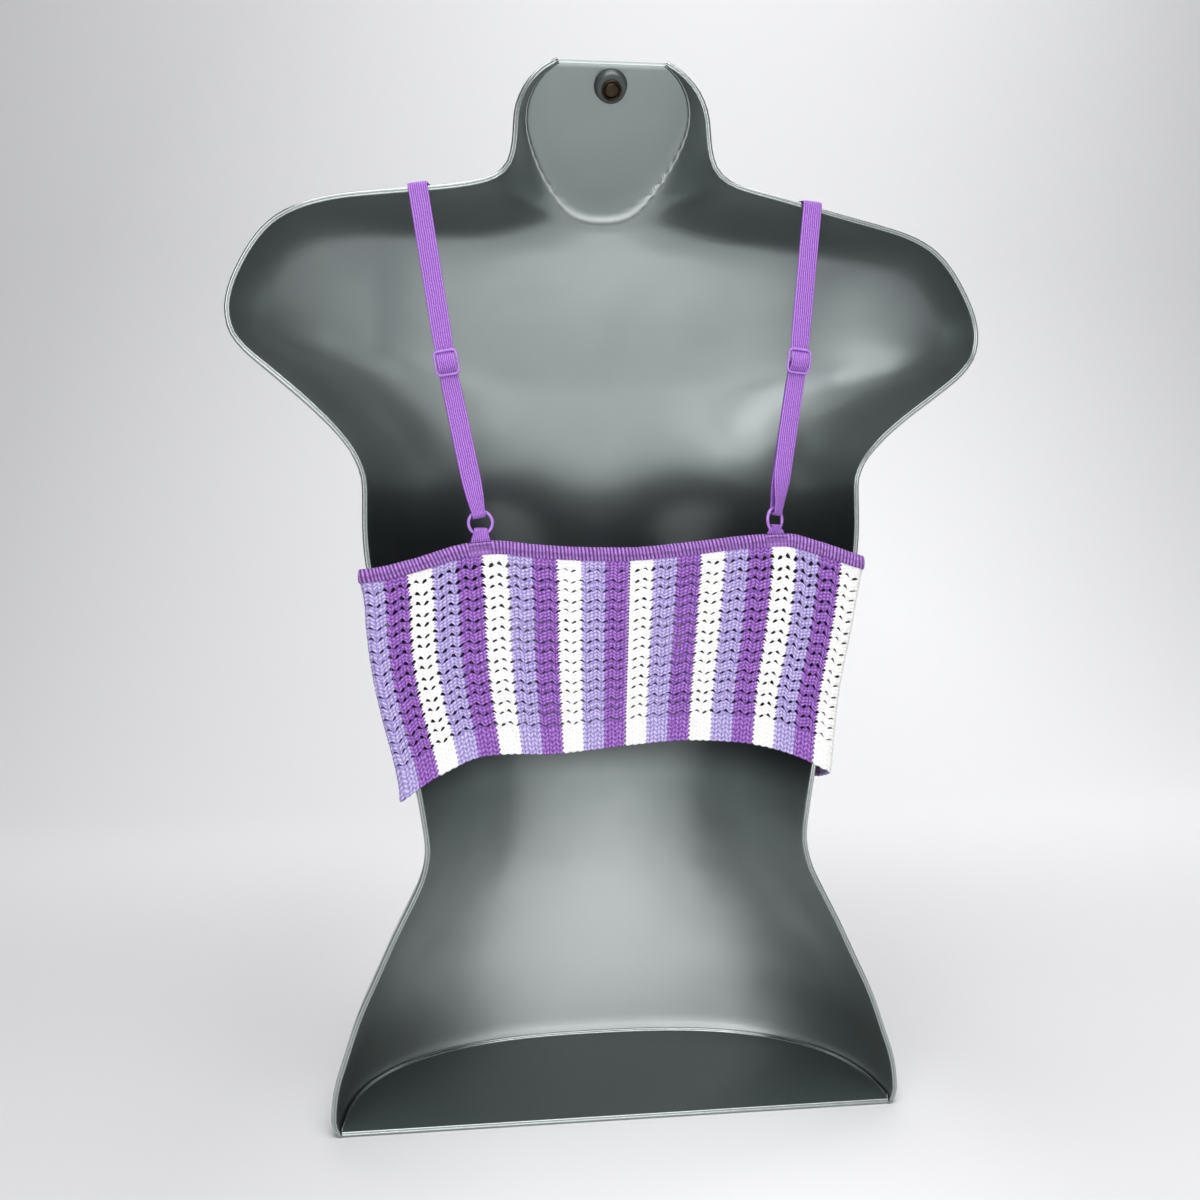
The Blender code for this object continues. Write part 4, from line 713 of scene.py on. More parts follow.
def knit_panel(name, first_wale, wales, courses, height_of, opening_of, yarn):
    """Two skins of a knitted cloth over a grid of wale against course.

    The height of a course waves over two wales in the openwork, by -0.30 cos(pi wale) + 0.32
    sin(pi wale), and over one wale, the V of a stitch, by 0.28 cos(2 pi wale). The skins lie either side
    of the middle, by a base plus relief = |sin(pi course)| x |sin(2 pi wale)|, both to the power 0.8.
    Round an eyelet the courses part by its opening x exp(-distance squared), and the eight faces in it
    are left out. So are faces further up behind the band than its stitches need."""
    wale = first_wale + np.arange(wales * COLUMNS_IN_WALE + 1) / COLUMNS_IN_WALE
    course = -0.5 + np.arange(int((courses + 0.5) * LINES_IN_COURSE) + 1) / LINES_IN_COURSE
    rows, columns = len(course), len(wale)
    wale, course = wale[None, :], course[:, None]
    place = np.broadcast_to(-1.0 + wale * STRIPE / WALES_IN_STRIPE, (rows, columns))
    place = pulled_place(place, course / courses)
    place[:, 0] += SEAM_HALF_GAP
    place[:, -1] -= SEAM_HALF_GAP
    level = height_of(place, course)
    under_band = band_bottom(place) - level
    pitch = -np.gradient(level, axis=0) * LINES_IN_COURSE

    last_eyelet = courses - PLAIN_HEM_COURSES
    openwork = (np.clip(under_band / 2.0 - 1.6, 0.0, 1.0)
                * np.clip(last_eyelet + 2.0 - course, 0.0, 1.5) / 1.5)
    lift = (openwork * (0.32 * np.sin(math.pi * wale) - 0.30 * np.cos(math.pi * wale))
            + (0.28 - 0.10 * openwork) * np.cos(2.0 * math.pi * wale)
            + 0.05 * np.sin(0.37 * wale + 0.21 * course))
    lift *= np.clip((courses + 0.2 - course) / 1.2, 0.3, 1.0)

    eyelet_course = np.arange(PLAIN_TOP_COURSES, last_eyelet + 1, 3)
    middle_line, middle_column = (values.ravel() for values in np.meshgrid(
        np.rint((eyelet_course + 0.5) * LINES_IN_COURSE).astype(int),
        np.arange(1, wales) * COLUMNS_IN_WALE, indexing="ij"))
    opening = opening_of(place[middle_line, middle_column], course[middle_line, 0])
    opening = opening + 0.05 * chance.standard_normal(opening.shape)
    odd = (middle_column // COLUMNS_IN_WALE + first_wale) % 2 == 1
    below = under_band[middle_line, middle_column]
    real = (opening > SMALLEST_OPENING) & (below > FIRST_EYELET_BELOW_BAND)
    middle_line, middle_column, opening, odd = (values[real] for values in
                                                (middle_line, middle_column, opening, odd))

    # A peak's eyelet is widest on its left and a valley's on its right, like drops that lie apart.
    near_eyelet = np.zeros((rows, columns))
    for across in range(-4, 5):
        for down in (-6, -5, -4, -3, -2, -1, 1, 2, 3, 4, 5, 6):
            lines, places = middle_line + down, np.clip(middle_column + across, 0, columns - 1)
            inside = lines < rows
            lean = np.where(odd, -0.28, 0.16) * across
            bell = np.exp(-(across / 2.0) ** 2) * math.exp(-((abs(down) - 1.0) / 2.2) ** 2) * (1.0 + lean)
            parted = -math.copysign(1.0, down) * opening * bell
            np.add.at(lift, (lines[inside], places[inside]), parted[inside])
    for across in range(-2, 3):
        for down in (-1, 0, 1):
            near_eyelet[middle_line + down, middle_column + across] = 1.0

    strand = np.abs(np.sin(math.pi * course)) ** 0.8
    leg = np.abs(np.sin(2.0 * math.pi * wale)) ** 0.8
    # The relief sets the skins' thickness and is also the yarn's painted shade: low in the grooves, round
    # the eyelets and along the first and last rows.
    relief = strand * (0.5 + 0.5 * leg) * (1.0 - 0.5 * near_eyelet)
    relief[[0, -1], :] *= 0.3
    smooth = body_points(place, level, -0.5 * CLOTH_WALL)
    outwards = unit(np.cross(np.gradient(smooth, axis=0), np.gradient(smooth, axis=1)))
    level = np.minimum(level + lift * pitch, band_bottom(place) + 0.8)
    middle = body_points(place, level, -0.5 * CLOTH_WALL)
    outer = middle + outwards * (SKIN_BASE + OUTER_RELIEF * relief)[..., None]
    inner = middle - outwards * (SKIN_BASE + INNER_RELIEF * relief)[..., None]

    number = np.arange(rows * columns).reshape(rows, columns)
    shown = under_band > -CLOTH_BEHIND_BAND
    kept = shown[1:, 1:] | shown[1:, :-1]
    for across in (-2, -1, 0, 1):
        for down in (-1, 0):
            kept[middle_line + down, middle_column + across] = False
    corners = []
    for side, row in ((-1, -1), (1, -1), (-1, 1), (1, 1)):
        tip = number[middle_line, middle_column + 2 * side]
        shoulder = number[middle_line + row, middle_column + 2 * side]
        near = number[middle_line + row, middle_column + side]
        ordered = (shoulder, tip, near) if side * row > 0 else (shoulder, near, tip)
        corners.append(np.stack([*ordered, np.full(len(tip), -1)], axis=-1))
    skin = np.concatenate([grid_quads(rows, columns)[kept.ravel()], *corners])
    count = rows * columns
    lining = np.where(skin >= 0, skin + count, -1)
    four = skin[:, 3] >= 0
    lining[four] = lining[four][:, ::-1]
    lining[~four, :3] = lining[~four, 2::-1]
    faces = np.concatenate([skin, lining, rim_quads(skin, count)])
    uv = np.stack(np.broadcast_arrays(wale, course), axis=-1).reshape(-1, 2)
    return piece_from(name, np.concatenate([outer.reshape(-1, 3), inner.reshape(-1, 3)]), faces, yarn,
                      np.tile(uv, (2, 1)), relief=np.tile(relief.ravel(), 2))


def back_opening(place, course):
    """How far an eyelet's edges part, in courses: most to the sides and under the straps, least in the
    middle of the top and where the cloth turns round the rim."""
    near_top = np.exp(-((course - PLAIN_TOP_COURSES) / 5.0) ** 2)
    straps = np.exp(-((place + 0.53) / 0.12) ** 2) + np.exp(-((place - 0.64) / 0.12) ** 2)
    middle_top = np.exp(-((place + 0.18) / 0.09) ** 2) + 0.6 * np.exp(-((place + 0.02) / 0.05) ** 2)
    flanks = 0.30 * np.clip(np.abs(place), 0.0, 0.85) ** 2 * (1.0 - 0.35 * course / BACK_COURSES)
    turned = np.clip((np.abs(place) - 0.86) / 0.12, 0.0, 1.0)
    return -0.06 + flanks - 0.24 * turned + 0.26 * near_top * straps - 0.14 * near_top * middle_top


def front_opening(place, _):
    """The front's eyelets part a little more over the fullest part of the chest, on every course."""
    return 0.02 + 0.12 * np.exp(-((np.abs(place) - 1.95) / 0.2) ** 2)


cotton = striped_yarn()
BACK_WALES, SIDE_WALES = 21 * WALES_IN_STRIPE, 4 * WALES_IN_STRIPE
FRONT_WALES, BACK_SPLIT = 22 * WALES_IN_STRIPE, 11 * WALES_IN_STRIPE
# A panel is knitted in one. Here it is two pieces that meet in the groove between two wales.
for name, node, first_wale, wales, courses, height_of, opening_of in (
        ("back_panel_left", "back_panel", -SIDE_WALES, BACK_SPLIT + SIDE_WALES, BACK_COURSES,
         back_height, back_opening),
        ("back_panel_right", "back_panel", BACK_SPLIT, BACK_WALES + SIDE_WALES - BACK_SPLIT, BACK_COURSES,
         back_height, back_opening),
        ("front_panel_right", "front_panel", BACK_WALES + SIDE_WALES, FRONT_WALES // 2, FRONT_COURSES,
         front_height, front_opening),
        ("front_panel_left", "front_panel", BACK_WALES + SIDE_WALES + FRONT_WALES // 2, FRONT_WALES // 2,
         FRONT_COURSES, front_height, front_opening)):
    panel = knit_panel(name, first_wale, wales, courses, height_of, opening_of, cotton)
    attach(panel, "root")
    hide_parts(node)
    places = -1.0 + np.linspace(first_wale, first_wale + wales, 200) * STRIPE / WALES_IN_STRIPE
    drop = band_bottom(places) - edge_height(places, 2)
    width, length = wales * BACK_HALF_WIDTH * STRIPE / WALES_IN_STRIPE, float(drop.max())


# ============================================================ ribbed top band
# The top edge is bound with a round 1x1 rib in purple cotton, linked on stitch by stitch. Its ribs run
# square to the edge with a slight lean, and two bar tacks squash them where the strap tabs are sewn in.
RIB_PITCH, SAMPLES_IN_RIB, RIB_HEIGHT, RIB_LEAN = 1.9, 4, 0.45, 0.30
BAND_AROUND, BAND_HALF_THICKNESS, BAND_CUT = 18, 1.25, 10.2
TAB_CENTRES = (-71.6, 85.6)
TACK_HALF_WIDTH = 6.2


def purple_rib():
    """Purple cotton rib: matt, with a fine slanting ply; its rounded ribs carry a painted highlight and its
    grooves painted shade. The UV map counts ribs along and goes from 0 to 1 round the band."""
    material, tree, shader = new_material("purple cotton rib knit")
    cloth = add(tree, "SeparateXYZ", [("Vector", add(tree, "UVMap", uv_map="cloth").outputs["UV"])])
    relief = add(tree, "Attribute", attribute_name="relief").outputs["Fac"]
    uneven = noise(tree, add(tree, "TexCoord").outputs["Object"], 700.0, 2.0)
    painted_light = maths(tree, "MULTIPLY", relief, maths(tree, "ADD", uneven, 0.5))
    tree.links.new(two_tone(tree, painted_light, "#260A44", "#C088E2", 0.05, 0.95), shader.inputs["Base Color"])
    shader.inputs["Roughness"].default_value = 0.8
    shader.inputs["Specular IOR Level"].default_value = 0.25
    shader.inputs["Sheen Weight"].default_value = 0.15
    shader.inputs["Sheen Roughness"].default_value = 0.45
    # The ply of a rib turns once in 1.2 mm of its length.
    along = maths(tree, "MULTIPLY", cloth.outputs["Y"], 110.0)
    ply = maths(tree, "SINE", maths(tree, "MULTIPLY_ADD", cloth.outputs["X"], 9.0, along))
    fuzz = bumped(tree, uneven, 0.00012, 0.5, bumped(tree, ply, 0.00007, 0.7))
    tree.links.new(fuzz, shader.inputs["Normal"])
    return material


def rib_band(name, first_place, last_place, yarn):
    """A flattened tube along the top edge: round a section, out = half thickness x cos(turn) and
    up = half height x sin(turn), both raised to 0.75; the ribs add height x |cos(pi x rib)|^1.1 and
    fade towards the inner side. Each column of points is an equal step along the edge."""
    coarse = np.linspace(first_place, last_place, 1500)
    middle = body_points(coarse, 0.5 * (edge_height(coarse, 1) + band_bottom(coarse)), -0.5 * CLOTH_WALL)
    length = lengths_along(middle)
    ribs = int(round(length[-1] / RIB_PITCH))
    count = ribs * SAMPLES_IN_RIB + 1
    place = np.interp(np.linspace(0.0, length[-1], count), length, coarse)
    top, bottom = edge_height(place, 1), band_bottom(place)
    centre = body_points(place, 0.5 * (top + bottom), -0.5 * CLOTH_WALL)
    outwards = square_across(centre, body_points(place, 0.5 * (top + bottom), 0.5)
                             - body_points(place, 0.5 * (top + bottom), -0.5))
    upwards = np.cross(unit(np.gradient(centre, axis=0)), outwards)
    upwards *= np.sign(upwards[:, 2:3])

    turn = np.linspace(0.0, 2.0 * math.pi, BAND_AROUND, endpoint=False)[None, :]
    round_out, round_up = signed_power(np.cos(turn), 0.75), signed_power(np.sin(turn), 0.75)
    step = np.arange(count)[:, None]
    rib = step / SAMPLES_IN_RIB + RIB_LEAN * np.sin(turn) + 0.12 * np.sin(0.7 * step / SAMPLES_IN_RIB)
    crest = np.abs(np.cos(math.pi * rib)) ** 1.1
    tacked = np.zeros((count, 1))
    for tab in TAB_CENTRES:
        near = np.where(centre[:, 1] < 0.0, np.abs(centre[:, 0] - tab), 99.0)
        tacked = np.maximum(tacked, np.clip((TACK_HALF_WIDTH - near) / 0.8, 0.0, 1.0)[:, None])
    stitched = np.abs(np.sin(2.0 * math.pi * (round_up + 0.1))) ** 0.8
    crest = crest * (1.0 - 0.7 * tacked) + 0.7 * tacked * stitched
    uneven = 0.10 * np.sin(0.31 * step) * np.sin(0.053 * step + 1.0)
    swell = RIB_HEIGHT * (crest - 0.5) * (0.6 + 0.4 * round_out) + uneven
    out = round_out * (BAND_HALF_THICKNESS - 0.25 * tacked) + swell * round_out
    rise = round_up * (0.5 * BAND_HEIGHT - 0.15) + 0.6 * swell * round_up
    points = centre[:, None] + outwards[:, None] * out[..., None] + upwards[:, None] * rise[..., None]
    uv = np.stack([rib, np.broadcast_to(turn / (2.0 * math.pi), rib.shape)], axis=-1).reshape(-1, 2)
    # The relief is the rib's painted light and shade: light on the crests, dark in the grooves, lighter on
    # the outer face than the inner.
    relief = (crest ** 1.7 * (0.75 + 0.25 * round_out)).ravel()
    faces = strip_quads(count, BAND_AROUND)
    return piece_from(name, points.reshape(-1, 3), faces, yarn, uv, relief=relief), length[-1]


rib_yarn = purple_rib()
band_behind, behind_length = rib_band("rib_band_back", -SIDE_SEAM, SIDE_SEAM, rib_yarn)
band_before, before_length = rib_band("rib_band_front", SIDE_SEAM, 2.0 * FRONT_MIDDLE - SIDE_SEAM, rib_yarn)
for band, node, length in ((band_behind, "band_back", behind_length),
                           (band_before, "band_front", before_length)):
    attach(band, "root")
    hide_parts(node)


# ============================================================ straps, rings, sliders and tabs
# Each strap is a purple knitted elastic 10 mm wide with fine lengthwise ribs and a looped edge. It is
# sewn to the front band, comes over the shoulder, weaves through an enamelled wire slider, turns round
# an enamelled ring and is sewn back to the slider's bar. A short tab holds the ring to the band.
STRAP_THICKNESS, STRAP_WIDTH, STRAP_SLIDER_WIDTH, STRAP_LOOP_WIDTH = 0.9, 10.4, 9.5, 7.4
STRAP_CLEARANCE, STRAP_FRONT_PLACE, SEAM_GAP = 0.8, 1.84, 0.3
RING_RADIUS, RING_WIRE_RADIUS, RING_DEPTH, LOOP_FROM_RING = 6.25, 0.85, 0.3, 4.5
SLIDER_HALF_WIDTH, SLIDER_HALF_HEIGHT, SLIDER_DEPTH, BAR_RADIUS = 6.5, 6.9, -3.0, 0.55
SLIDER_WIRE_RADIUS, SLIDER_BEND, RIM_CORNER, RING_STEPS, FRAME_STEPS = 0.75, 2.2, 1.6, 72, 96
SHOULDER_OVER_SLIDER, STRAP_FREE_RISE, SHOULDER_LEVELS, SHOULDER_POINTS = 89.0, 12.75, 90, 34
TAB_WIDTH, TAB_UNDER_BAND_TOP = 11.6, 11.0
ELASTIC_STEP = 0.65

# side, ring and slider as distance from the middle and height, shoulder, turn of the ring in degrees
STRAP_ROUTES = [(-1, (-71.6, 321.5), (-88.0, 404.0), -101.4, 6.0),
                (1, (85.6, 322.2), (98.4, 406.4), 106.4, 38.0)]


def arc_points(centre, radius, start_degrees, end_degrees, count):
    """Points (along, out) on an arc."""
    angles = np.radians(np.linspace(start_degrees, end_degrees, count))
    return np.stack([centre[0] + radius * np.cos(angles), centre[1] + radius * np.sin(angles)], axis=-1)


def rounded_route(points, step):
    """A smooth curve through points, at even steps of about the given length."""
    length = lengths_along(points[:, :3])
    even = np.linspace(0.0, length[-1], int(round(length[-1] / step)) + 1)
    return np.stack([curve_through(length, column, even) for column in points.T], axis=-1)


def shoulder_run(side, shoulder_x):
    """Strap line from the front band up over the shoulder to the rim: at even steps of depth, the
    height where the form's grown face has that depth, found by halving. Hollows are spanned."""
    seat = side * STRAP_FRONT_PLACE
    start = body_points(seat, edge_height(seat, 1), -0.5 * CLOTH_WALL)
    clear = STRAP_CLEARANCE + 0.5 * STRAP_THICKNESS
    depth = np.linspace(start[1], 0.0, SHOULDER_LEVELS)
    across = shoulder_x + (start[0] - shoulder_x) * depth / start[1]
    low, high = np.full(SHOULDER_LEVELS, CHEST_HEIGHT), np.full(SHOULDER_LEVELS, FORM_SECTIONS[-1, 0])
    for _ in range(30):
        level = 0.5 * (low + high)
        inside = form_depth(across, level, clear) > depth
        low, high = np.where(inside, level, low), np.where(inside, high, level)
    line = np.stack([across, depth, low], axis=-1)
    free = line[:, 2] > start[2] + STRAP_FREE_RISE
    line = evenly(np.concatenate([[start + (0.0, 0.0, 2.5 * SEAM_GAP)], line[free]]), SHOULDER_POINTS)
    for _ in range(120):
        middle = 0.5 * (line[:-2] + line[2:])
        sunk = middle[:, 1] > line[1:-1, 1]
        line[1:-1][sunk] = middle[sunk]
    return line


def shoulder_across(points):
    """Width directions over the shoulder: square to the strap and to the slope of the form's face."""
    nudge, height = 0.4, points[:, 2] - 0.6
    slope_side, slope_up = (
        (form_depth(points[:, 0] + side, height + rise, STRAP_CLEARANCE)
         - form_depth(points[:, 0] - side, height - rise, STRAP_CLEARANCE)) / (2.0 * nudge)
        for side, rise in ((nudge, 0.0), (0.0, nudge)))
    outwards = np.stack([-slope_side, np.ones(len(points)), -slope_up], axis=-1)
    across = unit(np.cross(outwards, np.gradient(points, axis=0)))
    return across * np.sign(across[:, :1])


def strap_line(side, ring, slider, shoulder_x, ring_turn):
    """Rows of (x, depth, height, width, width direction) from the front band to the sewn end. The lower
    part twists by the angle that the ring is turned by."""
    half = 0.5 * STRAP_THICKNESS
    over = shoulder_run(side, shoulder_x)
    bend = np.radians([30.0, 60.0, 90.0])
    corner = over[-1] - np.stack([0.0 * bend, RIM_CORNER * np.sin(bend) + 0.6,
                                  RIM_CORNER - RIM_CORNER * np.cos(bend)], axis=-1)
    middle = np.array([slider[0], SLIDER_DEPTH, slider[1]])
    upwards = unit((corner[-1] - middle) * (1.0, 0.0, 1.0))
    downwards = np.array([ring[0], RING_DEPTH, ring[1]]) - middle
    fall = np.linalg.norm(downwards)
    downwards /= fall
    back_run = np.array([shoulder_x - slider[0], 0.0, SHOULDER_OVER_SLIDER])
    level = np.cross(back_run, (0.0, 1.0, 0.0)) * -1.0
    level *= math.copysign(1.0 / np.linalg.norm(level), level[0])

    # Along the strap from the slider's bar, and out from the bar's plane towards the viewer's side.
    bar_clear, layer = BAR_RADIUS + SEAM_GAP + half, STRAP_THICKNESS + SEAM_GAP
    bar, ring_clear = SLIDER_HALF_HEIGHT - BAR_RADIUS, RING_WIRE_RADIUS + SEAM_GAP + half
    turn, over_loop = fall - LOOP_FROM_RING, bar_clear + layer
    weave = np.concatenate([
        [(-bar - 4.0, -bar_clear + 0.1), (-bar, -bar_clear), (-bar + 2.4, 0.2), (-2.2, over_loop - 0.5),
         (0.0, over_loop), (2.6, over_loop - 0.4), (bar - 2.0, 0.4), (bar, -bar_clear),
         (bar + 3.5, -bar_clear + 0.5), (turn - 22.0, 0.5 * layer + 0.3), (turn - 10.0, ring_clear - 0.1),
         (turn - 4.0, ring_clear), (turn - 1.3, ring_clear)],
        arc_points((turn, 0.0), ring_clear, 90.0, -90.0, 9),
        [(turn - 1.3, -ring_clear), (turn - 4.0, -ring_clear), (turn - 10.0, -ring_clear),
         (turn - 22.0, -0.5 * layer - 0.5), (bar + 6.0, -bar_clear - 0.6 * layer),
         (bar, -bar_clear - layer), (bar - 2.8, -bar_clear - 0.7 * layer), (2.2, -bar_clear)],
        arc_points((0.0, 0.0), bar_clear, -90.0, -270.0, 9), [(1.7, bar_clear - 0.05)]])
    distance, out = weave[:, :1], weave[:, 1:]
    along = np.where(distance > 0.0, downwards, -upwards)
    twist = ring_turn * np.clip((distance - turn + 30.0) / 26.0, 0.0, 1.0)
    towards = np.array([0.0, -1.0, 0.0])
    flat = level - along * (along @ level)[:, None]
    points = middle + along * distance + out * (towards * np.cos(twist) + flat * np.sin(twist))
    across = flat * np.cos(twist) - towards * np.sin(twist)
    width = np.interp(distance[:, 0], (-bar - 6.0, -bar, bar, bar + 8.0, turn - 14.0, turn - 2.0),
                      (STRAP_WIDTH, STRAP_SLIDER_WIDTH, STRAP_SLIDER_WIDTH, STRAP_WIDTH, STRAP_WIDTH,
                       STRAP_LOOP_WIDTH))

    straight = np.linspace(corner[-1], points[0], 40)[1:-1]
    before = np.concatenate([over, corner, straight])
    before_across = np.broadcast_to(level, before.shape).copy()
    before_across[:len(over) - 1] = shoulder_across(over)[:-1]
    before = np.column_stack([before, np.full(len(before), STRAP_WIDTH), before_across])
    line = rounded_route(np.concatenate([before, np.column_stack([points, width, across])]), ELASTIC_STEP)
    for column in (4, 5, 6):
        line[:, column] = softened(line[:, column], 4.0)
    return line


def knitted_elastic():
    """Purple knitted elastic of nylon over rubber thread: nearly matt, fine lengthwise ribs made of
    short stitches, with painted shade between the ribs and a painted highlight on their crests. The UV map
    counts ribs across and millimetres along."""
    material, tree, shader = new_material("purple knitted elastic")
    relief = add(tree, "Attribute", attribute_name="relief").outputs["Fac"]
    grain = noise(tree, add(tree, "TexCoord").outputs["Object"], 800.0, 2.0)
    painted_light = maths(tree, "MULTIPLY", relief, maths(tree, "ADD", grain, 0.5))
    tree.links.new(two_tone(tree, painted_light, "#6C389A", "#C48CE4", 0.1, 0.95), shader.inputs["Base Color"])
    shader.inputs["Roughness"].default_value = 0.7
    shader.inputs["Specular IOR Level"].default_value = 0.3
    shader.inputs["Sheen Weight"].default_value = 0.15
    shader.inputs["Sheen Roughness"].default_value = 0.4
    tree.links.new(bumped(tree, grain, 0.0001, 0.5), shader.inputs["Normal"])
    return material


ELASTIC_RIBS, SAMPLES_IN_ELASTIC_RIB, ELASTIC_STITCH, ELASTIC_RIB_HEIGHT = 9, 2, 1.95, 0.16
EDGE_LOOP_PITCH, EDGE_LOOP_REACH = 1.3, 0.34


def elastic(name, line, looped_edge, material):
    """A ribbed strip along a line of (x, depth, height, width, width direction). Both faces carry ribs,
    |sin(pi x rib)| high, cut into stitches half a stitch apart from rib to rib. The ribs wander a little,
    and the looped edge reaches out by small arcs, |sin(pi x along / pitch)| wide."""
    points, widths, across = line[:, :3], line[:, 3:4], square_across(line[:, :3], line[:, 4:])
    outwards = unit(np.cross(np.gradient(points, axis=0), across))
    rib = np.arange(ELASTIC_RIBS * SAMPLES_IN_ELASTIC_RIB + 1) / SAMPLES_IN_ELASTIC_RIB
    side = rib / ELASTIC_RIBS * 2.0 - 1.0
    along = np.arange(len(points))[:, None] * ELASTIC_STEP
    crest = np.abs(np.sin(math.pi * rib))[None, :]
    knot = np.abs(np.cos(math.pi * (along / ELASTIC_STITCH + 0.5 * np.floor(rib)[None, :])))
    wander = 0.9 * np.sin(along / 2.3 + 2.6 * side) * (1.0 - side ** 2)
    # The relief raises the ribs and is also their painted shade: dark between the ribs, light on the
    # crests, varying along the stitches.
    relief = crest * (0.72 + 0.28 * knot)
    edge_round = (1.0 - np.abs(side[None, :]) ** 9) * 0.5 * STRAP_THICKNESS
    out = edge_round + ELASTIC_RIB_HEIGHT * (relief - 0.5)
    loops = (EDGE_LOOP_REACH * np.abs(np.sin(math.pi * along / EDGE_LOOP_PITCH))
             * (side * looped_edge > 0.99) * looped_edge)
    reach = (side[None, :] * 0.5 * (widths - 0.4)) + wander * 0.5 * widths / ELASTIC_RIBS / 4.0 + loops
    face = points[:, None] + across[:, None] * reach[..., None]
    grid = np.concatenate([face + outwards[:, None] * out[..., None],
                           (face - outwards[:, None] * out[..., None])[:, ::-1]], axis=1)
    both = np.concatenate([relief, relief[:, ::-1]], axis=1)
    uv = np.stack([np.broadcast_to(np.concatenate([rib, rib[::-1]])[None, :], both.shape),
                   np.broadcast_to(along, both.shape)], axis=-1).reshape(-1, 2)
    return piece_from(name, grid.reshape(-1, 3), strip_quads(*both.shape), material, uv,
                      relief=both.ravel())


def coated_wire():
    """Steel wire with a purple nylon coat: smooth and glossy, a little paler where the coat is thin."""
    material, tree, shader = new_material("purple nylon-coated wire")
    tone = noise(tree, add(tree, "TexCoord").outputs["Object"], 300.0, 2.0)
    tree.links.new(two_tone(tree, tone, "#9A5FC8", "#B886DC"), shader.inputs["Base Color"])
    shader.inputs["Roughness"].default_value = 0.2
    shader.inputs["IOR"].default_value = 1.53
    shader.inputs["Coat Weight"].default_value = 0.4
    shader.inputs["Coat Roughness"].default_value = 0.12
    return material


def wire_loops(name, paths, radius, material):
    """Round wires of one radius, each a circle square to its path at every point. A path comes with the
    direction that it lies square to and with whether it runs back into itself."""
    points, faces, count = [], [], 0
    turn = np.linspace(0.0, 2.0 * math.pi, 16, endpoint=False)[None, :, None]
    for path, face, closed in paths:
        tangent = np.roll(path, -1, axis=0) - np.roll(path, 1, axis=0)
        if not closed:
            tangent = np.gradient(path, axis=0)
        tangent = unit(tangent)
        level = unit(np.cross(tangent, face))
        other = np.cross(level, tangent)
        grid = path[:, None] + radius * (np.cos(turn) * level[:, None] + np.sin(turn) * other[:, None])
        rows, columns = grid.shape[:2]
        quads = grid_quads(rows + closed, columns, closed_round=True) % (rows * columns)
        points.append(grid.reshape(-1, 3))
        faces.append(quads + count)
        count += rows * columns
    return piece_from(name, np.concatenate(points), np.concatenate(faces), material)


def tab_line(ring, ring_turn):
    """Rows like a strap's for the short tab: up behind the band, round the ring's foot and down again."""
    ring_clear = RING_WIRE_RADIUS + SEAM_GAP + 0.5 * STRAP_THICKNESS
    top = float(edge_height(ring[0] / BACK_HALF_WIDTH, 1))
    behind = -(BACK_OUT - CLOTH_WALL - 0.35) + SEAM_GAP + 0.5 * STRAP_THICKNESS
    second, turn = behind + STRAP_THICKNESS + SEAM_GAP, ring[1] - LOOP_FROM_RING
    loop = arc_points((turn, 0.0), ring_clear, -90.0, 90.0, 9)
    run = np.concatenate([
        [(top - TAB_UNDER_BAND_TOP, behind), (top - 4.0, behind), (turn - 1.5, RING_DEPTH - ring_clear)],
        loop + (0.0, RING_DEPTH),
        [(turn - 3.0, RING_DEPTH + ring_clear), (top - 2.0, second + 0.3), (top - 6.0, second),
         (top - TAB_UNDER_BAND_TOP, second)]])
    share = np.clip((run[:, 0] - top) / (turn - top), 0.0, 1.0)
    twist = np.radians(ring_turn) * share
    depth = run[:, 1] - RING_DEPTH
    points = np.stack([ring[0] - depth * np.sin(twist), RING_DEPTH + depth * np.cos(twist), run[:, 0]],
                      axis=-1)
    width = TAB_WIDTH + (STRAP_LOOP_WIDTH - TAB_WIDTH) * share
    across = np.stack([np.cos(twist), np.sin(twist), 0.0 * twist], axis=-1)
    return rounded_route(np.column_stack([points, width, across]), ELASTIC_STEP)


